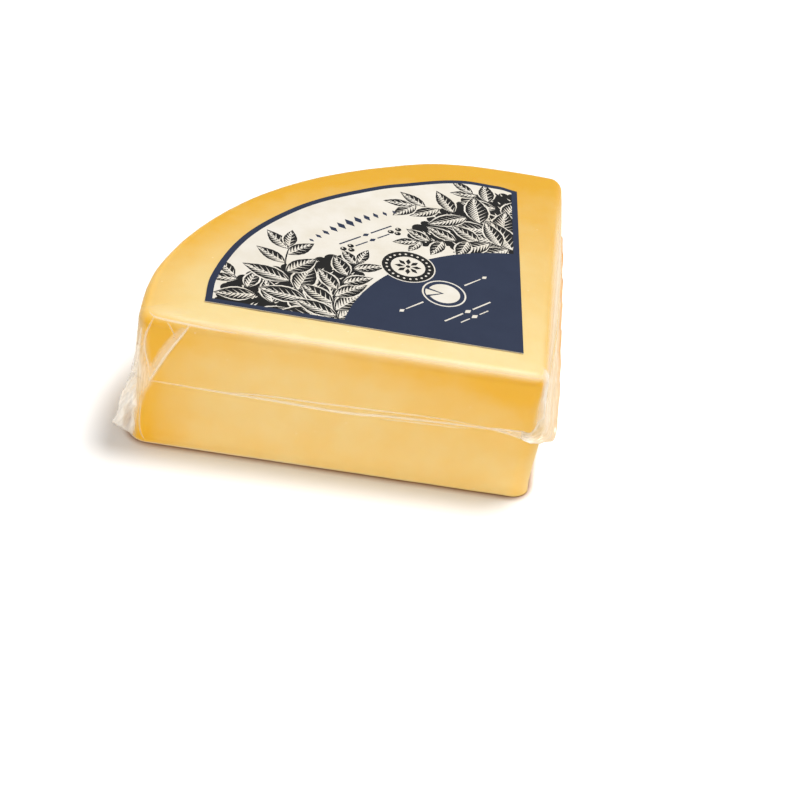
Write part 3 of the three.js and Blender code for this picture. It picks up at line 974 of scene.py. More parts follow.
# %% Sizes of the ear
EAR_DIRECTION = np.array([-0.97, -0.24]) / math.hypot(0.97, 0.24)
EAR_START = np.array([-177.0, 3.8])
EAR_REACH = [(0.6, 1), (1.6, 3.5), (4.4, 7.7), (6.6, 10.6), (8.6, 12.4), (14, 10.7), (18.5, 9.8), (26, 9),
             (31.5, 7.1), (37.5, 4.9), (47.5, 3.8), (60, 2.6), (68, 0.6)]
EAR_LEVELS = 120
EAR_STEPS = 30
EAR_ROOT = 5.0
EAR_ROOT_HALF_WIDTH = 3.2
EAR_ROOT_END = 0.55
EAR_HALF_THICKNESS = 0.2
EAR_NIBBLE = 0.5
EAR_NIBBLE_LENGTH = 4.5
EAR_SWING = 1.2
EAR_SWING_LENGTH = 17.0
EAR_FULL_REACH = 12.0
EAR_FREE_REACH = 8.0
EAR_FREE_FROM = 4.0
EAR_CRUMPLE = 0.9
EAR_PIVOT = 40.0
EAR_PIVOT_INSET = 6.0
EAR_FANS = 4.0
EAR_FOLD_LENGTH = 15.0
CREASES = ((1.0, 0.72), (2.2, 0.28))
EAR_CALM = (4, 16)
EAR_CALM_HAZE = 0.42
EAR_HAZE = 0.32
EAR_FOLD_HAZE = 0.2
EAR_RIM_HAZE = 0.12
EAR_RIM = (0.55, 0.85)
EAR_WARM = [(0, 0.08), (20, 0.16), (34, 0.4), (50, 0.5), (70, 0.5)]
EAR_FILM_CRUMPLE = 0.6
EAR_CROSS = 26.0
EAR_DRAWN = 0.12


# %% One level of the ear
def crease(x, y, seed):
    """A crumpled height from about -1 to 1 with sharp folds."""
    total = 0.0
    for scale, share in CREASES:
        total += share * (1 - 4 * abs(noise.noise(Vector((x * scale, y * scale, seed)))))
    return total


def ear_row(z):
    """From root to border: the place out and aside on both faces, the haze, and the place in the streaks."""
    reach = float(between(EAR_REACH, z))
    nibble = EAR_NIBBLE * noise.noise(Vector((z / EAR_NIBBLE_LENGTH, 3, 9)))
    reach += nibble * min(reach / EAR_FREE_REACH, 1)
    swing = EAR_SWING * (reach / EAR_FULL_REACH) * math.sin(2 * math.pi * z / EAR_SWING_LENGTH)
    wild = float(ease(z, *EAR_CALM))
    row = []
    for t in np.linspace(0, 1, EAR_STEPS).tolist():
        out = -EAR_ROOT + (reach + EAR_ROOT) * t
        from_pivot = (out + EAR_PIVOT_INSET, abs(EAR_PIVOT - z) + EAR_PIVOT_INSET)
        fan = math.atan2(*from_pivot)
        radius = math.hypot(*from_pivot)
        folds = crease(fan * EAR_FANS, radius / EAR_FOLD_LENGTH, 2.0)
        free = float(ease(out, 0, EAR_FREE_FROM)) * min(reach / EAR_FREE_REACH, 1)
        shift = (swing * math.sin(math.pi * t * 1.5) + EAR_CRUMPLE * folds) * free
        width = EAR_HALF_THICKNESS + EAR_ROOT_HALF_WIDTH * (1 - float(ease(t, 0, EAR_ROOT_END)))
        veil = EAR_CALM_HAZE + (EAR_HAZE - EAR_CALM_HAZE) * wild
        veil += (EAR_FOLD_HAZE * max(folds, 0) + EAR_RIM_HAZE * float(ease(t, *EAR_RIM))) * wild
        row.append(((out, shift + width), (out, shift - width), veil, fan * EAR_CROSS, radius * EAR_DRAWN))
    return row


# %% Ear
def make_ear():
    aside = np.array([-EAR_DIRECTION[1], EAR_DIRECTION[0]])
    points = []
    looks = []
    for z in np.linspace(EAR_REACH[0][0], EAR_REACH[-1][0], EAR_LEVELS):
        near, far, *row_looks = zip(*ear_row(z))
        points += [(*(EAR_START + out * EAR_DIRECTION + side * aside), z) for out, side in far + near[::-1]]
        looks.append([values + values[::-1] for values in row_looks])
    points = np.array(points)
    haze, cross, drawn = np.array(looks).transpose(1, 0, 2).reshape(3, -1)
    size = 2 * EAR_STEPS
    faces = []
    for low in range(0, (EAR_LEVELS - 1) * size, size):
        for i in range(size):
            j = (i + 1) % size
            faces.append((low + i, low + j, low + size + j, low + size + i))
    faces.append(tuple(range(size - 1, -1, -1)))
    faces.append(tuple(range((EAR_LEVELS - 1) * size, EAR_LEVELS * size)))
    piece = add_piece("film_ear", points, faces, film, {
        "haze": haze,
        "crumple": np.full(len(points), EAR_FILM_CRUMPLE),
        "warm": between(EAR_WARM, points[:, 2]),
        "cross": cross,
        "drawn": drawn,
    })
    return dress_film(piece)


make_ear()

# %% [markdown]
# Folds in the film. Where the bag had too much film for the corner, it was pressed flat in pleats: a diagonal
# one on the front cut with a bright border, one beside the corner and one along the top edge. The seam is
# pressed flat on the front cut too, and shows as one line that splits into two and then three. Beside the tip
# two more folds stand for the web of film that the seam draws out. Each fold is a low ribbon that follows the
# skin. Its path is given in millimetres from the axis, below zero to the left, and above the base.

# %% Places on the skin
EDGE_ARC = TOP_ROUND * math.pi / 2
FRONT_FACING = -0.2
FRONT_LAPS = 1.9


def on_skin(run, girth, lift):
    """A place on the pack's skin: millimetres along the outline, and down from where the top edge begins."""
    place, normal = (
        np.column_stack([np.interp(run, outline.run, values[:, k], period=outline.length) for k in (0, 1)])
        for values in (outline.places, outline.normals))
    normal /= np.linalg.norm(normal, axis=1)[:, None]
    lean = math.pi / 2 * np.clip(1 - girth / EDGE_ARC, 0, 1)
    inset = TOP_ROUND * (1 - np.cos(lean)) + np.maximum(-girth, 0)
    z = HEIGHT - TOP_ROUND * (1 - np.sin(lean)) - np.maximum(girth - EDGE_ARC, 0)
    back = inset + wander(place, z)
    flat = place - normal * back[:, None] + normal * (lift * np.cos(lean))[:, None]
    return np.column_stack([flat, z + lift * np.sin(lean)])


def front_run(x):
    """How far along the outline a place on the front cut lies."""
    on_front = (outline.normals[:, 1] < FRONT_FACING) & (outline.laps > FRONT_LAPS)
    return float(np.interp(x, outline.places[on_front, 0], outline.run[on_front]))


def front_spot(x, z):
    """Turns a place on the front cut into millimetres along the outline and down the side."""
    above = z - (HEIGHT - TOP_ROUND)
    if above <= 0:
        return front_run(x), EDGE_ARC - above
    lean = math.asin(min(above / TOP_ROUND, 1))
    return front_run(x), EDGE_ARC * (1 - lean / (math.pi / 2))


# %% Ribbons
RIBBON_ACROSS = (-1.0, -0.92, -0.8, -0.62, -0.35, 0.0, 0.35, 0.62, 0.8, 0.92, 1.0)
RIBBON_ENDS = (0.03, 0.97)
RIBBON_BORDER = (0.4, 0.7)
RIBBON_FADE = (0.7, 0.92)
RIBBON_LIFT = 0.02
RIBBON_DEPTH = 0.25


def round_off(path, rounds=3):
    """Cuts the corners of a path until it is smooth."""
    path = np.array(path, float)
    for _ in range(rounds):
        ahead = path[1:]
        behind = path[:-1]
        cut = np.stack([0.75 * behind + 0.25 * ahead, 0.25 * behind + 0.75 * ahead], 1)
        path = np.vstack([path[:1], cut.reshape(-1, path.shape[1]), path[-1:]])
    return path


def make_ribbon(path, width, height, middle_haze, border_haze):
    """Points, faces and haze of one fold that lies on the skin and fades out at both ends."""
    path = round_off(path)
    count = len(path)
    travel = np.gradient(path, axis=0)
    travel /= np.linalg.norm(travel, axis=1)[:, None]
    aside = np.column_stack([-travel[:, 1], travel[:, 0]])
    fade = np.sin(math.pi * np.linspace(*RIBBON_ENDS, count)) ** 0.5
    points = []
    haze = []
    for u in (*RIBBON_ACROSS, 1.0, -1.0):
        under = len(points) >= len(RIBBON_ACROSS)
        spot = path + aside * (u * width / 2 * fade)[:, None]
        lift = np.full(count, -RIBBON_DEPTH) if under else height * (1 - u * u) * fade + RIBBON_LIFT
        level = middle_haze + (border_haze - middle_haze) * ease(abs(u), *RIBBON_BORDER)
        points.append(on_skin(spot[:, 0], spot[:, 1], lift))
        haze.append(fade * level * (1 - ease(abs(u), *RIBBON_FADE)))
    size = len(points)
    faces = []
    for low in range(0, (count - 1) * size, size):
        for k in range(size):
            n = (k + 1) % size
            faces.append((low + k, low + n, low + size + n, low + size + k))
    faces.append(tuple(range(size - 1, -1, -1)))
    faces.append(tuple((count - 1) * size + k for k in range(size)))
    return np.stack(points, 1).reshape(-1, 3), faces, np.stack(haze, 1).ravel()


# %% Folds, each with its path, width, height, and the haze of its middle and its borders
FOLD_WARM = 0.4
FOLDS = {
    "diagonal": ([(-160.5, 67), (-164, 61.5), (-168.6, 52.4), (-171.4, 44.5), (-173.6, 37)],
                 5.6, 0.25, 0.32, 0.2),
    "bright border of the diagonal": (
        [(-158.4, 68.5), (-159.6, 66.5), (-162.6, 61), (-167, 52.5), (-170.5, 44), (-173.8, 36)],
        1.9, 0.35, 0.46, 0.1),
    "beside the corner": (
        [(-174.5, 69.1), (-175.5, 65), (-177, 60), (-177, 53.5), (-175.5, 48), (-173.6, 42)],
        1.8, 0.25, 0.4, 0.1),
    "along the top edge": (
        [(-179, 69.6), (-174, 69.1), (-169.5, 68.8), (-161, 68.5), (-153, 68.2), (-146, 68.1), (-138, 68)],
        1.7, 0.15, 0.46, 0.1),
    "short one": ([(-168, 68.2), (-165.5, 65.3), (-164.2, 62.5)], 1.0, 0.15, 0.34, 0.05),
    "low corner": ([(-176.4, 24), (-176.8, 16), (-176.6, 9), (-175.4, 4), (-173.5, 1.5)],
                   1.4, 0.2, 0.36, 0.06),
    "behind the low corner": ([(-178.6, 22), (-179.4, 14), (-179.2, 6), (-178, 1.5)], 1.2, 0.2, 0.34, 0.06),
    "line of the seam": (
        [(-174.6, 36.4), (-166, 36.3), (-155, 35.9), (-138, 35.5), (-126, 35.4), (-114, 35.2), (-100, 34.8),
         (-88, 34.7), (-79, 35.1), (-71, 36.1), (-62, 36.7), (-45, 37.5), (-27, 38.1), (-15, 37.9),
         (-9, 36.2), (-4, 34)],
        2.3, 0.3, 0.46, 0.14),
    "upper line of the seam": (
        [(-140, 35.5), (-134, 36.4), (-128, 37), (-114, 37.7), (-101, 37.7), (-88, 38.4), (-80, 38.6),
         (-65, 39.2), (-47, 39.8), (-34, 39.5), (-22, 38.5)],
        1.7, 0.25, 0.36, 0.06),
    "lower line of the seam": ([(-70, 34.2), (-59, 35.2), (-44, 35.6), (-30, 36.4)], 1.5, 0.2, 0.24, 0.05),
    "top of the web": ([(-26, 38.3), (-15, 38.6), (-10.5, 38.8), (-6, 38.9), (-1, 38.8)], 1.5, 0.2, 0.4, 0.1),
    "web beside the tip": ([(-19, 38.2), (-11.5, 37.6), (-7, 37.1), (-4, 36.6), (0, 36)],
                           4.4, 0.1, 0.3, 0.26),
}


def make_folds():
    points = []
    faces = []
    haze = []
    for path, *shape in FOLDS.values():
        part, part_faces, part_haze = make_ribbon([front_spot(x, z) for x, z in path], *shape)
        faces += [tuple(v + len(points) for v in face) for face in part_faces]
        points += part.tolist()
        haze += part_haze.tolist()
    piece = add_piece("film_folds", points, faces, film, {
        "haze": haze,
        "warm": np.full(len(points), FOLD_WARM),
    })
    return dress_film(piece)


make_folds()

# %% [markdown]
# The label is coated paper, printed in dark blue, black and cream, cut to a quarter disc. The print could be
# an image, but here it is cut like a linocut: every leaf, rule and dot is an outline, and one triangulation
# cuts the sheet along all of them, so each colour is a set of real faces with its own ink. Places on the
# label are given as a distance from its tip and a turn from its middle line. The design is a plain one of
# leaf sprays and small ornaments.

# %% Print helpers
INK_NAVY = 0
INK_CREAM = 1
INK_BLACK = 2
MIDDLE_LINE = 135
shapes = []


def spot_at(radius, turn):
    """A place on the label: millimetres from its tip, and degrees to the right of its middle line."""
    return radius * facing(math.radians(MIDDLE_LINE - turn))


def left_of(direction):
    return np.array([-direction[1], direction[0]])


def paint(polygon, ink):
    """Adds a shape to the print, over the ones before it. The triangulation needs it anticlockwise."""
    x, y = np.asarray(polygon, float).T
    area = np.sum(x * np.roll(y, -1) - np.roll(x, -1) * y) / 2
    shape = np.column_stack([x, y])
    shapes.append((shape if area > 0 else shape[::-1], ink))


def circle(centre, radius, steps):
    angles = np.linspace(0, 2 * math.pi, steps, endpoint=False)
    return centre + radius * np.column_stack([np.cos(angles), np.sin(angles)])


def sliver(start, end, width, end_width=0.0):
    """A line that tapers, as a graver cuts it."""
    aside = left_of((end - start) / np.linalg.norm(end - start))
    if end_width == 0:
        return [start - aside * width / 2, end, start + aside * width / 2]
    return [start - aside * width / 2, end - aside * end_width / 2,
            end + aside * end_width / 2, start + aside * width / 2]


def diamond(centre, along, length, width):
    aside = left_of(along)
    return [centre - along * length / 2, centre + aside * width / 2,
            centre + along * length / 2, centre - aside * width / 2]


# %% Leaves
LEAF_STEPS = 22
LEAF_FULLNESS = 0.85
LEAF_LOBES = 6
LEAF_NOTCH = 0.06
LEAF_BORDER = 0.9
MIDRIB_START = 0.8
MIDRIB_END_SHARE = 0.93
MIDRIB_WIDTH = 0.9
VEINS = ((1, 1.9, 1.25), (-1, 2.9, 0.55))
VEIN_START = 1.8
VEIN_START_ASIDE = 0.3
VEIN_LAST_SHARE = 0.86
VEIN_LEAN = 0.16
VEIN_END_LIMIT = 0.97
VEIN_REACH = 0.84
VEIN_SHORTEST = 1.2


def leaf_half_width(t, width):
    notches = 1 + LEAF_NOTCH * np.abs(np.sin(math.pi * LEAF_LOBES * t))
    return width / 2 * np.sin(math.pi * t ** LEAF_FULLNESS) * notches


def leaf(base, tip, width):
    """A black leaf in a cream border, with broad cuts on its lit side and a few fine veins on the other."""
    length = np.linalg.norm(tip - base)
    along = (tip - base) / length
    aside = left_of(along)
    t = np.linspace(0, 1, LEAF_STEPS)
    spine = base + along * (t * length)[:, None]
    half = leaf_half_width(t, width)[:, None]
    border = (half + LEAF_BORDER * np.sin(math.pi * t)[:, None]) * aside
    paint(np.concatenate([spine + border, (spine - border)[-2:0:-1]]), INK_CREAM)
    half = half * aside
    paint(np.concatenate([spine + half, (spine - half)[-2:0:-1]]), INK_BLACK)
    midrib_end = base + along * length * MIDRIB_END_SHARE
    paint(sliver(base + along * MIDRIB_START, midrib_end, MIDRIB_WIDTH), INK_CREAM)
    for side, gap, cut in VEINS:
        for reach in np.arange(VEIN_START, length * VEIN_LAST_SHARE, gap):
            start = base + along * reach + aside * side * VEIN_START_ASIDE
            share = min(reach / length + VEIN_LEAN, VEIN_END_LIMIT)
            end = base + along * share * length + aside * side * leaf_half_width(share, width) * VEIN_REACH
            if np.linalg.norm(end - start) > VEIN_SHORTEST:
                paint(sliver(start, end, cut), INK_CREAM)


# %% Branches and berries
TWIG_WIDTHS = (1.5, 1.45)
FIRST_LEAF = 0.35
LEAF_LENGTHS = (0.9, 1.12)
LEAF_LEANS = (38, 56)
LEAF_WIDTHS = (0.38, 0.46)
END_LEAF_WIDTH = 0.42
BERRY_RADIUS = 1.6
draw = random.Random(11)


def branch(stations, leaves, first_length, last_length, side):
    """A bent twig with leaves on alternate sides, long at its foot and short at its tip."""
    path = round_off([spot_at(radius, side * turn) for radius, turn in stations])
    for k in range(len(path) - 1):
        share = k / (len(path) - 1)
        paint(sliver(path[k], path[k + 1], *(width - share for width in TWIG_WIDTHS)), INK_BLACK)
    for n in range(leaves):
        share = (n + FIRST_LEAF) / leaves
        k = int(share * (len(path) - 2))
        along = path[k + 1] - path[k]
        along = along / np.linalg.norm(along)
        aside = left_of(along) * (1 if n % 2 else -1)
        length = first_length + (last_length - first_length) * share
        length *= draw.uniform(*LEAF_LENGTHS)
        lean = math.radians(draw.uniform(*LEAF_LEANS))
        tip = path[k] + length * (along * math.cos(lean) + aside * math.sin(lean))
        leaf(path[k], tip, length * draw.uniform(*LEAF_WIDTHS))
    end_along = path[-1] - path[-2]
    end_along = end_along / np.linalg.norm(end_along)
    leaf(path[-1], path[-1] + end_along * last_length, last_length * END_LEAF_WIDTH)


def berry(centre):
    """A black berry with a glint at its upper left."""
    paint(circle(centre, BERRY_RADIUS, steps=14), INK_BLACK)
    paint(circle(centre + BERRY_RADIUS * np.array([-0.3, 0.3]), BERRY_RADIUS * 0.32, steps=8), INK_CREAM)


# %% Thickets behind the sprays
THICKET = [(78, 45), (84, 26), (92, 11.5), (100, 12.5), (108, 20), (117, 27), (127, 33), (135, 38), (137, 45)]
THICKET_LOBE = 3.4
LOBE_SIZES = (0.75, 1.2)
FLECKS = 150
FLECK_LENGTH = 2.6
FLECK_WIDTH = 0.9
FLECK_RADII = (80, 138)
FLECK_TURNS = (12, 44)
FLECK_LEANS = (10, 50)


def is_inside(polygon, spot):
    """Counts how often a line to the right of the spot crosses the polygon."""
    x, y = (np.asarray(polygon) - spot).T
    next_x, next_y = np.roll(x, -1), np.roll(y, -1)
    crosses = (y > 0) != (next_y > 0)
    at = x[crosses] - y[crosses] * (next_x - x)[crosses] / (next_y - y)[crosses]
    return np.sum(at > 0) % 2 == 1


def paint_thicket(side):
    """The dark ground behind a spray, with a lobed edge and flecks that a graver would leave."""
    edge = round_off([spot_at(radius, side * turn) for radius, turn in THICKET])
    paint(edge, INK_BLACK)
    for spot in edge[4:-4:3]:
        paint(circle(spot, THICKET_LOBE * draw.uniform(*LOBE_SIZES), steps=16), INK_BLACK)
    for _ in range(FLECKS):
        start = spot_at(draw.uniform(*FLECK_RADII), side * draw.uniform(*FLECK_TURNS))
        lean = math.radians(90 + side * draw.uniform(*FLECK_LEANS))
        if is_inside(edge, start):
            paint(sliver(start, start + FLECK_LENGTH * facing(lean), FLECK_WIDTH), INK_CREAM)


# %% Sprays of leaves on both sides
BRANCHES = (
    ([(84, 44.5), (104, 43), (122, 40.5), (135, 35)], 8, 24, 15),
    ([(86, 43), (104, 36), (117, 28), (124, 19)], 10, 30, 15),
    ([(84, 43), (90, 34), (90, 24), (93, 12)], 10, 25, 13),
)
BERRIES = ((102, 8.5), (104.5, 7.2), (105, 9.8))


def paint_sprays():
    for side in (1, -1):
        paint_thicket(side)
        for stations, leaves, first_length, last_length in BRANCHES:
            branch(stations, leaves, first_length, last_length, side)
        for radius, turn in BERRIES:
            berry(spot_at(radius, side * turn))


# %% Fields of colour
BORDER = 3.0
ARC_STEPS = 96
DISC_SETBACK = 16.0
DISC_RADIUS = 93.7
DISC_HALF_TURN = 62
DISC_STEPS = 90


def label_arc(inset):
    """The label's arc from its back end to its front end, moved in from the edge."""
    margin = math.degrees(math.asin(inset / (LABEL_ARC[0][1] - inset)))
    turns = np.linspace(90 - margin, margin, ARC_STEPS)
    reach = np.array([float(between(LABEL_ARC, turn)) for turn in turns]) - inset
    return np.array([toward(math.radians(turn)) for turn in turns]) * reach[:, None]


def paint_field():
    """The whole sheet in dark blue, which stays as a border, and the cream field on it."""
    paint(np.vstack([[0, 0], label_arc(0.0)]), INK_NAVY)
    paint(np.vstack([[-BORDER, BORDER], label_arc(BORDER)]), INK_CREAM)


def paint_disc():
    """The dark blue corner, which ends in an arc."""
    centre = spot_at(-DISC_SETBACK, 0)
    turns = np.linspace(MIDDLE_LINE - DISC_HALF_TURN, MIDDLE_LINE + DISC_HALF_TURN, DISC_STEPS)
    angles = np.radians(turns)
    rim = centre + DISC_RADIUS * np.column_stack([np.cos(angles), np.sin(angles)])
    paint(np.vstack([[centre], rim]), INK_NAVY)


# %% Rosette
ROSETTE_PLACE = 77
ROSETTE_RADIUS = 13.2
ROSETTE_DARK_RADIUS = 12.6
DOTS = 22
DOT_RING = 10.4
DOT_RADIUS = 0.62
HEART_RADIUS = 8.3
PETALS = 8
PETAL_START = 1.6
PETAL_MIDDLE = 4.2
PETAL_END = 6.6
PETAL_HALF_WIDTH = 1.25
EYE_RADIUS = 1.1


def paint_rosette():
    centre = spot_at(ROSETTE_PLACE, 0)
    paint(circle(centre, ROSETTE_RADIUS, steps=48), INK_CREAM)
    paint(circle(centre, ROSETTE_DARK_RADIUS, steps=48), INK_BLACK)
    for angle in np.linspace(0, 2 * math.pi, DOTS, endpoint=False):
        paint(circle(centre + DOT_RING * facing(angle), DOT_RADIUS, steps=8), INK_CREAM)
    paint(circle(centre, HEART_RADIUS, steps=36), INK_CREAM)
    for angle in np.linspace(0, 2 * math.pi, PETALS, endpoint=False):
        out = facing(angle)
        middle = centre + out * PETAL_MIDDLE
        aside = left_of(out) * PETAL_HALF_WIDTH
        petal = [centre + out * PETAL_START, middle + aside, centre + out * PETAL_END, middle - aside]
        paint(petal, INK_BLACK)
    paint(circle(centre, EYE_RADIUS, steps=12), INK_BLACK)


# %% Rules and a frieze
RULE_GAP = 3.2
RULE_DIAMOND = (4.2, 2.6)
FRIEZE_PLACE = 119.5
FRIEZE_HALF_COUNT = 5
FRIEZE_TURN = 2.6
FRIEZE_TAPER = 9
FRIEZE_LENGTH = 4.0
FRIEZE_WIDTH = 7.6


def paint_rule(radius, half_length, width, ink):
    """A straight rule across the middle line with a diamond in its middle."""
    across = spot_at(1, 90)
    centre = spot_at(radius, 0)
    for side in (1, -1):
        start = centre + across * side * RULE_GAP
        paint(sliver(start, centre + across * side * half_length, width, width), ink)
    paint(diamond(centre, across, *RULE_DIAMOND), ink)


def paint_field_ornament():
    """A frieze of diamonds and two rules on the cream field."""
    for n in range(-FRIEZE_HALF_COUNT, FRIEZE_HALF_COUNT + 1):
        size = 1 - abs(n) / FRIEZE_TAPER
        turn = n * FRIEZE_TURN
        centre = spot_at(FRIEZE_PLACE, turn)
        paint(diamond(centre, spot_at(1, turn + 90), FRIEZE_LENGTH * size, FRIEZE_WIDTH * size), INK_NAVY)
    paint_rule(107.5, 17, 0.9, INK_NAVY)
    paint_rule(102.5, 11, 0.8, INK_NAVY)


# %% Small cut cheese
EMBLEM_PLACE = 52
EMBLEM_RADIUS = 10.5
EMBLEM_DARK_RADIUS = 9.7
CUT_CHEESE = (7.6, 165, 475)
SLICE = (7.4, 120, 160)
SLICE_ASIDE = 1.2
SLICE_UP = 0.9
SIDE_RULE_START = 13.5
SIDE_RULE_LENGTH = 11
SIDE_RULE_WIDTHS = (0.9, 0.5)
SIDE_DIAMOND_REACH = 13.5
SIDE_DIAMOND = (3.4, 2.2)


def fan_shape(tip, radius, from_turn, to_turn):
    """A slice of a disc, with its turns measured from the reading direction of the label."""
    across = spot_at(1, 90)
    up = spot_at(1, 0)
    angles = np.radians(np.linspace(from_turn, to_turn, 40))
    arc = tip + radius * (np.cos(angles)[:, None] * across + np.sin(angles)[:, None] * up)
    return np.vstack([[tip], arc])


def paint_disc_ornament():
    """A round cheese with a slice drawn out of it, between rules, in cream on the dark corner."""
    across = spot_at(1, 90)
    up = spot_at(1, 0)
    hub = spot_at(EMBLEM_PLACE, 0)
    paint(circle(hub, EMBLEM_RADIUS, steps=44), INK_CREAM)
    paint(circle(hub, EMBLEM_DARK_RADIUS, steps=44), INK_NAVY)
    paint(fan_shape(hub, *CUT_CHEESE), INK_CREAM)
    paint(fan_shape(hub - across * SLICE_ASIDE + up * SLICE_UP, *SLICE), INK_CREAM)
    for side in (1, -1):
        start = hub + across * side * SIDE_RULE_START
        paint(sliver(start, start + across * side * SIDE_RULE_LENGTH, *SIDE_RULE_WIDTHS), INK_CREAM)
        paint(diamond(start + across * side * SIDE_DIAMOND_REACH, across, *SIDE_DIAMOND), INK_CREAM)
    paint_rule(36, 15, 0.8, INK_CREAM)
    paint_rule(31.5, 9, 0.6, INK_CREAM)


# %% The whole print, from the ground up
paint_field()
paint_sprays()
paint_field_ornament()
paint_disc()
paint_rosette()
paint_disc_ornament()
print("the print is cut from", len(shapes), "shapes")

# %% [markdown]
# Coated paper and its three inks. The paper is a wood pulp sheet with a clay coating that was pressed smooth,
# so it has a low, even sheen and a very fine tooth. The cream field is printed to look aged, with soft
# clouds. The dark blue is a solid of ink, which lies a little smoother than bare paper.

# %% Inks
PAPER_TOOTH = 0.9
PAPER_CLOUD = 14.0


def make_ink(name, first, second, roughness):
    """Coated paper with one ink, clouded between two colours."""
    material, tree, place = start_material(name)
    cloud = add_node(tree, "TexNoise", inputs={
        "Vector": place, "Scale": 1 / (PAPER_CLOUD * MM), "Detail": 5.0, "Roughness": 0.6})
    tooth = add_node(tree, "TexNoise", inputs={
        "Vector": place, "Scale": 1 / (PAPER_TOOTH * MM), "Detail": 3.0})
    share = add_node(tree, "MapRange", inputs={
        "Value": cloud.outputs["Fac"], "From Min": 0.35, "From Max": 0.7})
    colour = add_node(tree, "Mix", {"data_type": "RGBA"}, {
        0: share.outputs["Result"], 6: linear(first), 7: linear(second)})
    bump = add_node(tree, "Bump", inputs={
        "Height": tooth.outputs["Fac"], "Strength": 0.25, "Distance": 0.05 * MM})
    shader = add_node(tree, "BsdfPrincipled", inputs={
        "Base Color": colour.outputs[2],
        "Roughness": roughness,
        "IOR": 1.5,
        "Specular IOR Level": 0.22,
        "Normal": bump.outputs["Normal"]})
    finish_material(tree, shader)
    return material


inks = [
    make_ink("dark blue ink on coated paper", "#202a41", "#242e45", 0.5),
    make_ink("cream coated paper", "#e0dacf", "#d8d0c0", 0.5),
    make_ink("black ink on coated paper", "#0b0a09", "#12100e", 0.5),
]

# %% [markdown]
# The sheet. One triangulation cuts the quarter disc along every outline. Of each small triangle it says which
# shapes cover it, and the last one painted wins. The cut sheet becomes the top, its edge is dropped by the
# thickness of the paper, and the underside closes it.

# %% Label
LABEL_THICKNESS = 0.3
SHEET = 0
FIELD = 1
MERGE_DISTANCE = 1e-4


def cut_print():
    """Triangulates the sheet along all shapes: places, triangles and the ink of each."""
    corners = []
    polygons = []
    for polygon, _ in shapes:
        polygons.append(list(range(len(corners), len(corners) + len(polygon))))
        corners += [Vector(point) for point in polygon]
    places, _, triangles, _, _, owners = delaunay_2d_cdt(corners, [], polygons, 0, MERGE_DISTANCE)
    kept = []
    inked = []
    for triangle, owner in zip(triangles, owners):
        if SHEET not in owner:
            continue
        kept.append(triangle)
        inked.append(shapes[max(owner)][1] if FIELD in owner else INK_NAVY)
    return places, kept, inked


def make_label():
    places, triangles, inked = cut_print()
    used = sorted({v for triangle in triangles for v in triangle})
    number = {v: n for n, v in enumerate(used)}
    turn = np.array([[math.cos(LABEL_TURN), -math.sin(LABEL_TURN)],
                     [math.sin(LABEL_TURN), math.cos(LABEL_TURN)]])
    flat = np.array([places[v] for v in used]) @ turn.T + LABEL_APEX
    top = [tuple(number[v] for v in triangle) for triangle in triangles]
    edges = {(face[k], face[(k + 1) % 3]) for face in top for k in range(3)}
    rim = {a: b for a, b in edges if (b, a) not in edges}
    loop = [next(iter(rim))]
    while rim[loop[-1]] != loop[0]:
        loop.append(rim[loop[-1]])
    under = {v: len(flat) + n for n, v in enumerate(loop)}
    sides = [(a, under[a], under[b], b) for a, b in zip(loop, loop[1:] + loop[:1])]
    points = np.vstack([
        np.column_stack([flat, np.full(len(flat), HEIGHT + LABEL_THICKNESS)]),
        np.column_stack([flat[loop], np.full(len(loop), HEIGHT)]),
    ])
    base = tuple(under[v] for v in reversed(loop))
    piece = add_piece("label_sheet", points, top + sides + [base], inks[0], smooth=False)
    for ink in inks[1:]:
        piece.data.materials.append(ink)
    colours = inked + [INK_CREAM] * (len(sides) + 1)
    piece.data.polygons.foreach_set("material_index", colours)
    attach(piece, "root")
    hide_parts("label")
    return piece


make_label()

# %% [markdown]
# The studio. The photograph was taken on a white sweep in soft light, with the main light behind and to the
# right, so the shadow falls softly to the left and front. A white world gives the fill, and one large lamp
# gives the direction. Near the foot the floor is painted with a brown contact shadow where it is hemmed in,
# the colour of the little light that reaches it there through the cheese.

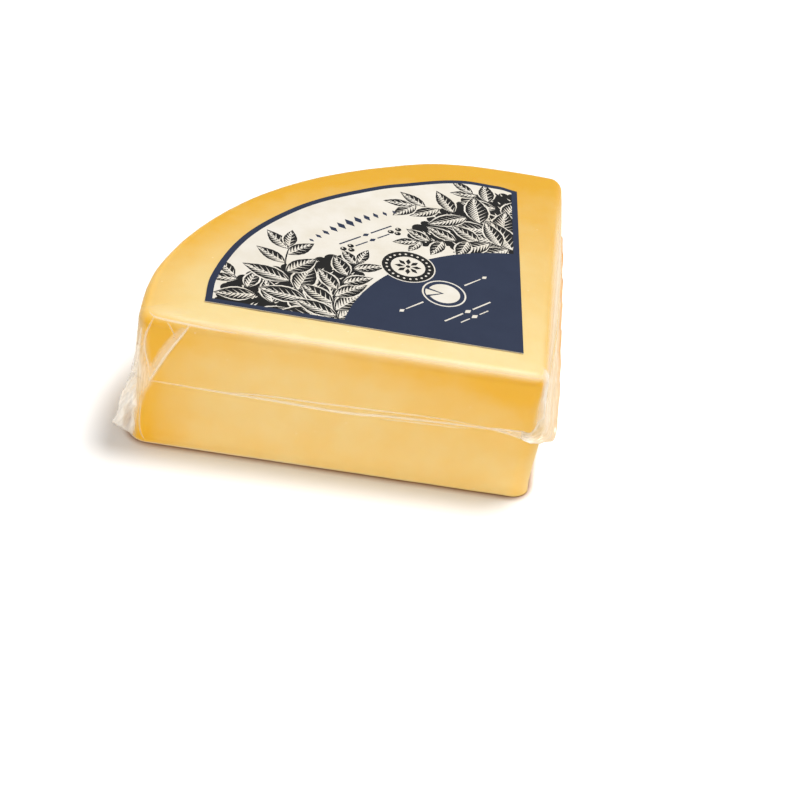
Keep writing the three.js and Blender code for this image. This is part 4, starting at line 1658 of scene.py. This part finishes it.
# %% Floor and light
FLOOR_SIZE = 6.0
FLOOR_GLOW = 0.08
CONTACT_SHADOW_REACH = 6.0
CONTACT_SHADOW_COLOUR = (0.32, 0.13, 0.015, 1.0)
KEY_PLACE = (227, 360, 1600)
KEY_SIZE = 0.5
KEY_POWER = 22.5
FILL_PLACE = (-160, -1500, 90)
FILL_SIZE = 1.0
FILL_POWER = 10.5
WORLD_STRENGTH = 0.41


def make_floor():
    material, tree, _ = start_material("white sweep")
    # A painted contact shadow: the floor turns brown where it is hemmed in near the foot.
    hemmed = add_node(tree, "AmbientOcclusion", {"samples": 8}, {"Distance": CONTACT_SHADOW_REACH * MM})
    openness = add_node(tree, "MapRange", inputs={
        "Value": hemmed.outputs["AO"], "From Min": 0.55, "From Max": 0.92})
    shadow_tint = add_node(tree, "Mix", {"data_type": "RGBA"}, {
        0: openness.outputs["Result"], 6: CONTACT_SHADOW_COLOUR, 7: (1.0, 1.0, 1.0, 1.0)})
    shader = add_node(tree, "BsdfPrincipled", inputs={
        "Base Color": shadow_tint.outputs[2], "Roughness": 0.9, "Specular IOR Level": 0.1,
        "Emission Color": shadow_tint.outputs[2], "Emission Strength": FLOOR_GLOW})
    finish_material(tree, shader)
    half = FLOOR_SIZE / 2
    mesh = bpy.data.meshes.new("floor")
    corners = [(-half, -half, 0), (half, -half, 0), (half, half, 0), (-half, half, 0)]
    mesh.from_pydata(corners, [], [(0, 1, 2, 3)])
    mesh.materials.append(material)
    floor = bpy.data.objects.new("floor", mesh)
    bpy.context.scene.collection.objects.link(floor)


def make_world():
    world = bpy.data.worlds.new("studio")
    world.use_nodes = True
    background = world.node_tree.nodes["Background"]
    background.inputs["Color"].default_value = (1, 1, 1, 1)
    background.inputs["Strength"].default_value = WORLD_STRENGTH
    bpy.context.scene.world = world


def make_lamp(name, place, size, power):
    data = bpy.data.lights.new(name, "AREA")
    data.shape = "DISK"
    data.size = size
    data.energy = power
    lamp = bpy.data.objects.new(name, data)
    lamp.location = to_frame(place)
    lamp.rotation_euler = lamp.location.to_track_quat("Z", "Y").to_euler()
    bpy.context.scene.collection.objects.link(lamp)


make_floor()
make_world()
make_lamp("key", KEY_PLACE, KEY_SIZE, KEY_POWER)
make_lamp("fill", FILL_PLACE, FILL_SIZE, FILL_POWER)
bpy.context.scene.view_settings.view_transform = "Standard"
